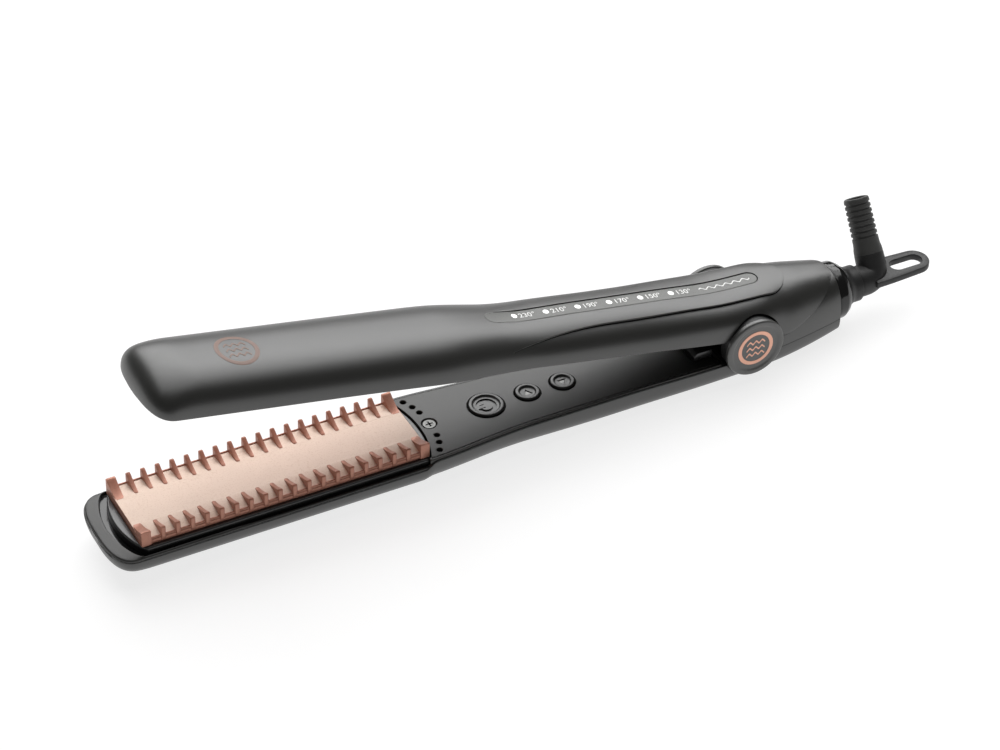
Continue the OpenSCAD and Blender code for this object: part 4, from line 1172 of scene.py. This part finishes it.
def make_lights():
    bm = bmesh.new()
    for x in LIGHT_X:
        z = lens_top(x, LIGHT_Y)
        middle = bm.verts.new((x, LIGHT_Y, z + 0.1))
        rows = [[bm.verts.new((x + r * c, LIGHT_Y + r * s, z + dz)) for c, s in circle(40)]
                for r, dz in ((0.5, 0.09), (0.85, 0.06), (1.08, 0.02), (1.12, -0.1))]
        for k in range(40):
            n = (k + 1) % 40
            bm.faces.new((middle, rows[0][k], rows[0][n]))
            for a, b in zip(rows, rows[1:]):
                bm.faces.new((a[k], b[k], b[n], a[n]))
        bm.faces.new(rows[-1])
    lights = to_object("indicator_windows", bm, UPPER, LED)
    finish_mesh(lights, "upper_arm", "indicator_leds")
    for x, label in zip(LIGHT_X, ("230", "210", "190", "170", "150", "130")):
        make_text("scale_" + label, label + "°", x + 1.75, -1.05, 2.25, PRINT_WHITE)


def make_wave_row(x0, x1, y):
    """Row of small crimp waves printed at the rear end of the lens strip."""
    count = 6
    rings = []
    for k in range(count * 16 + 1):
        u = k / (count * 16)
        x = x0 + (x1 - x0) * u
        yc = y + 0.55 * math.sin(2 * math.pi * count * u)
        rings.append([(x, yc + o, lens_top(x, yc + o) + dz) for o, dz in
                      ((-0.24, -0.05), (-0.24, 0.03), (0.24, 0.03), (0.24, -0.05))])
    obj = to_object("wave_row", loft(rings), UPPER, PRINT_WHITE)
    return finish_mesh(obj, "upper_arm", None)


make_panel()
make_lens()
make_lights()
make_wave_row(-16.2, 3.4, 0.0)

# ---------------------------------------------------------------- tail
SEAM_GAP = 0.42


def core_top(x):
    return 10.7 - 2.1 * ease(x, 10, 36)


def make_cheeks():
    front, rear = 7.0, REAR - 0.03
    rings = []
    for k in range(61):
        x = front + (rear - front) * k / 60
        w, b, h = body_half_width(x), -HANDLE_RIM, core_top(x) + 0.7
        outer = [(x, w * math.copysign(abs(math.sin(a)) ** (2 / FULLNESS), a) if a else 0.0,
                  b + (h - b) * abs(math.cos(a)) ** (2 / FULLNESS))
                 for a in [math.radians(-90 + 180 * j / 80) for j in range(81)]]
        inner = [(x, py * (w - 0.9) / w, b + (pz - b) * (h - 0.95 - b) / (h - b))
                 for _, py, pz in outer][::-1]
        rings.append(outer + inner)
    obj = to_object("rear_cheek_skin", loft(rings), LOWER, SATIN)
    cutters = []
    for s in (-1, 1):
        bm = lathe([(0, 0), (EAR_RADIUS + 0.25, 0), (EAR_RADIUS + 0.25, 9), (0, 9)], 96)
        cutters.append(to_object("ear", bm, LOWER @ Matrix.Translation((0, s * 11, 0))
                                 @ Matrix.Rotation(math.radians(-90 * s), 4, "X"), SATIN))
    steps = 40
    seam = [(TAIL_END + SEAM_GAP, 40), (-20, 40), (-20, -10), (SEAM_FRONT - 4, -10),
            (SEAM_FRONT - 4, TAIL_SEAM_LOW - SEAM_GAP * 1.5)]
    for i in range(steps + 1):
        u = i / steps
        seam.append((SEAM_FRONT + SEAM_GAP + (TAIL_END - SEAM_FRONT) * u,
                     TAIL_SEAM_LOW + TAIL_SEAM_RISE * u ** TAIL_SEAM_POWER - SEAM_GAP))
    cutters.append(side_prism("seam", seam, 25, UPPER))
    cut(obj, cutters)
    return finish_mesh(obj, "base", "rear_cheeks")


make_cheeks()

# ---------------------------------------------------------------- cord outlet
ELBOW_X = 58.0
NECK_REAR = 50.0
BOOT_LEAN = math.radians(34)
BOOT_DIR = Vector((0, math.sin(BOOT_LEAN), math.cos(BOOT_LEAN)))
OUTLET = LOWER @ Matrix.Translation((0, 0, COLLAR_Z))
ALONG = OUTLET @ Matrix.Rotation(math.radians(90), 4, "Y")
CORD_RADIUS = 3.1
BOOT_LENGTH = 28.0
RIB_FIRST = 14.5
RIB_PITCH = 1.9
RIBS = 7
LOOP_Z = 2.2


def make_collar():
    x0, x1 = REAR + 0.02, 44.2
    profile = rounded([(7.6, x0), (10.15, x0), (10.3, x0 + 0.7), (10.2, x0 + 3.3),
                       (9.1, x0 + 5.1), (7.9, x1), (7.6, x1)], 0.45)
    obj = to_object("rear_collar_ring", lathe(profile + [profile[0]], 128), ALONG, GLOSS_BLACK)
    bmesh_clean(obj)
    finish_mesh(obj, "base", "rear_collar")
    profile = rounded([(4.66, 32), (7.5, 32), (7.5, x1 + 0.6), (6.6, x1 + 2.2),
                       (6.4, x1 + 3.0), (6.4, NECK_REAR - 0.05),
                       (5.9, NECK_REAR), (4.66, NECK_REAR)], 0.4)
    obj = to_object("swivel_socket_skin", lathe(profile + [profile[0]], 112), ALONG, NYLON)
    bmesh_clean(obj)
    return finish_mesh(obj, "base", "swivel_socket")


def bmesh_clean(obj):
    """Joins the first and last ring of a closed profile."""
    bm = bmesh.new()
    bm.from_mesh(obj.data)
    bmesh.ops.remove_doubles(bm, verts=bm.verts, dist=1e-7)
    bmesh.ops.recalc_face_normals(bm, faces=bm.faces)
    bm.to_mesh(obj.data)
    bm.free()


def sweep(path, radii, steps=56):
    """Round tube along a path in the XYZ of the outlet, closed at both ends."""
    rings = []
    u = Vector((1, 0, 0)).cross(BOOT_DIR).normalized()
    for i, (p, r) in enumerate(zip(path, radii)):
        q0 = path[max(i - 1, 0)]
        q1 = path[min(i + 1, len(path) - 1)]
        t = (Vector(q1) - Vector(q0)).normalized()
        v = t.cross(u).normalized()
        rings.append([tuple(Vector(p) + r * (c * u + s * v)) for c, s in circle(steps)])
    return loft(rings)


def make_elbow():
    corner = Vector((ELBOW_X, 0, 0))
    bend = 4.6
    path, radii = [], []
    for x, r in ((NECK_REAR + 0.15, 4.9), (NECK_REAR + 0.35, 5.3), (NECK_REAR + 0.8, 5.5),
                 (NECK_REAR + 2, 5.5)):
        path.append(Vector((x, 0, 0)))
        radii.append(r)
    start = corner - Vector((bend, 0, 0))
    end = corner + BOOT_DIR * bend
    for k in range(17):
        t = k / 16
        path.append((1 - t) ** 2 * start + 2 * t * (1 - t) * corner + t * t * end)
        radii.append(5.5 - 0.3 * ease(t, 0, 1))
    for d, r in ((6.5, 5.15), (8.2, 5.1), (8.5, 5.0)):
        path.append(corner + BOOT_DIR * d)
        radii.append(r)
    obj = to_object("elbow_skin", sweep(path, radii), OUTLET, NYLON)
    return finish_mesh(obj, "cord_swivel", "swivel_elbow")


def make_boot():
    length = BOOT_LENGTH
    profile = [(CORD_RADIUS, 8.4), (5.0, 8.4), (5.05, 8.7), (4.95, 10), (4.7, 11.2), (4.6, 12.4)]
    for k in range(RIBS):
        z = RIB_FIRST + k * RIB_PITCH
        r = 4.6 - 0.02 * k
        for dz, dr in ((-0.62, 0), (-0.44, -0.06), (-0.34, -0.38), (-0.2, -0.46),
                       (0.2, -0.46), (0.34, -0.38), (0.44, -0.06), (0.62, 0)):
            profile.append((r + dr, z + dz))
    profile += [(4.35, length - 0.5), (4.2, length - 0.15), (3.9, length), (CORD_RADIUS + 0.25, length),
                (CORD_RADIUS, length - 0.25), (CORD_RADIUS, 8.4)]
    matrix = OUTLET @ Matrix.Translation((ELBOW_X, 0, 0)) @ Matrix.Rotation(-BOOT_LEAN, 4, "X")
    obj = to_object("strain_relief_skin", lathe(profile, 96), matrix, BOOT_RUBBER)
    bmesh_clean(obj)
    return finish_mesh(obj, "cord_swivel", "strain_relief_boot")


def make_loop():
    reach = 79.5
    end_r = 5.4
    x0 = ELBOW_X - 2.5
    outer = quarter(end_r, reach - end_r, 0, [-90 + 7.5 * k for k in range(25)])
    far = [(reach - end_r - (reach - end_r - x0) * t, 5.4 + 0.8 * math.sin(math.pi / 2 * t)) for t in
           [k / 12 for k in range(1, 13)]]
    near = [(x, -y) for x, y in far[::-1]]
    outline = outer + far + near

    def shrunk(inset):
        out = []
        n = len(outline)
        for i in range(n):
            p0, p1, p2 = outline[i - 1], outline[i], outline[(i + 1) % n]
            tx, ty = p2[0] - p0[0], p2[1] - p0[1]
            d = math.hypot(tx, ty) + 1e-9
            out.append((p1[0] - ty / d * inset, p1[1] + tx / d * inset))
        return out
    top, low = LOOP_Z, LOOP_Z - 2.5
    layers = [(low, 0.4), (low + 0.12, 0.15), (low + 0.4, 0), (top - 0.4, 0), (top - 0.12, 0.15), (top, 0.4)]
    obj = to_object("hanging_loop_skin", stack(shrunk, layers), OUTLET, NYLON)
    slot = pill_points(ELBOW_X + 6.6, reach - 2.6, 2.75)
    cut(obj, [prism("slot", slot, -10, 10, OUTLET)])
    bevelled(obj, 0.3, 3, 50)
    return finish_mesh(obj, "cord_swivel", "hanging_loop")


make_collar()
make_elbow()
make_boot()
make_loop()


# ---------------------------------------------------------------- stop block, screws
def make_stop():
    pts = [(-19.6, -FACE), (-19.6, -2.2), (-18.4, -1.0), (-12.6, -1.0), (-12.6, -FACE)]
    obj = side_prism("stop_block_skin", pts, 10.3, LOWER)
    bevelled(obj, 0.35, 3, 30)
    obj.data.materials.clear()
    obj.data.materials.append(HOLDER_BLACK)
    return finish_mesh(obj, "base", "stop_block")


def make_face_screw(name, body, matrix):
    top = -FACE - 0.25
    profile = [(0, top - 3), (1.3, top - 3), (1.3, top - 0.9), (2.1, top - 0.9), (2.1, top - 0.35),
               (1.95, top - 0.12), (1.6, top - 0.02), (0.9, top + 0.05), (0, top + 0.07)]
    bm = lathe(profile, 64)
    bmesh.ops.translate(bm, verts=bm.verts, vec=(FACE_SCREW_X, 0, 0))
    obj = to_object(name, bm, matrix, SCREW)
    cutters = []
    for turn in (0, 90):
        c, s = math.cos(math.radians(turn)), math.sin(math.radians(turn))
        bar = [(FACE_SCREW_X + px * c - py * s, px * s + py * c) for px, py in
               ((-1.35, -0.27), (1.35, -0.27), (1.35, 0.27), (-1.35, 0.27))]
        cutters.append(prism("slot", bar, top - 0.75, top + 1, matrix))
    cut(obj, cutters)
    bevelled(obj, 0.05, 1, 50)
    return finish_mesh(obj, body, None)


make_stop()
make_face_screw("lower_face_screw", "base", LOWER)
make_face_screw("upper_face_screw", "upper_arm", UPPER @ FLIP)

# ---------------------------------------------------------------- carried CAD nodes
CARRIED = {
    "hinge_yoke": NYLON, "hinge_pin": STEEL, "opening_spring": STEEL, "tail_core": NYLON,
    "contact_springs": BRASS,
    "lower_screws": SCREW, "upper_screws": SCREW, "upper_hinge_block": NYLON, "hinge_bushes": BRASS,
    "lower_heater": HEATER, "upper_heater": HEATER, "lower_heater_clip": STEEL, "upper_heater_clip": STEEL,
    "lower_thermistor": SILICONE, "upper_thermistor": SILICONE, "lower_cushions": SILICONE,
    "upper_cushions": SILICONE, "button_board": BOARD, "led_board": BOARD, "main_board": BOARD,
    "tact_switches": NYLON, "slip_rings": BRASS, "swivel_clip": STEEL,
}
for node, material in CARRIED.items():
    mesh = frame["nodes"][node].data
    mesh.materials.clear()
    mesh.materials.append(material)

# ---------------------------------------------------------------- light, floor
def make_stage():
    floor_mesh = bpy.data.meshes.new("floor")
    size = 6
    corners = [(-size, -size, 0), (size, -size, 0), (size, size, 0), (-size, size, 0)]
    floor_mesh.from_pydata(corners, [], [(0, 1, 2, 3)])
    floor = bpy.data.objects.new("floor", floor_mesh)
    floor.location.z = -0.0002
    bpy.context.scene.collection.objects.link(floor)
    mat, nodes, links, shader, coords = node_material("floor")
    shader.inputs["Base Color"].default_value = (0.3, 0.3, 0.3, 1)
    shader.inputs["Emission Color"].default_value = (1, 1, 1, 1)
    shader.inputs["Emission Strength"].default_value = 0.78
    shader.inputs["Roughness"].default_value = 0.9
    shader.inputs["Specular IOR Level"].default_value = 0.1
    floor_mesh.materials.append(mat)
    world = bpy.data.worlds.new("studio")
    world.use_nodes = True
    world.node_tree.nodes["Background"].inputs["Color"].default_value = (1, 1, 1, 1)
    world.node_tree.nodes["Background"].inputs["Strength"].default_value = 0.10
    bpy.context.scene.world = world

    def area(name, location, target, size, radiance):
        light = bpy.data.lights.new(name, "AREA")
        light.shape = "RECTANGLE"
        light.size, light.size_y = size
        light.energy = radiance * math.pi * size[0] * size[1]
        obj = bpy.data.objects.new(name, light)
        obj.location = location
        obj.rotation_mode = "QUATERNION"
        obj.rotation_quaternion = (Vector(target) - Vector(location)).to_track_quat("-Z", "Y")
        bpy.context.scene.collection.objects.link(obj)

    # Softboxes on an arch over the far side, brightest low down
    boxes = ((27, 3.6, 0.42), (44, 4.4, 0.5), (63, 2.9, 0.55), (84, 1.7, 0.6))
    for k, (elevation, radiance, height) in enumerate(boxes):
        e = math.radians(elevation)
        away = 1.7 * math.cos(e)
        spot = (-0.1 + away * 0.468, away * 0.884, 1.7 * math.sin(e))
        area(f"softbox_{k}", spot, (-0.1, 0, 0.02), (2.3, height), radiance)
    bpy.context.scene.view_settings.view_transform = "Standard"


make_stage()
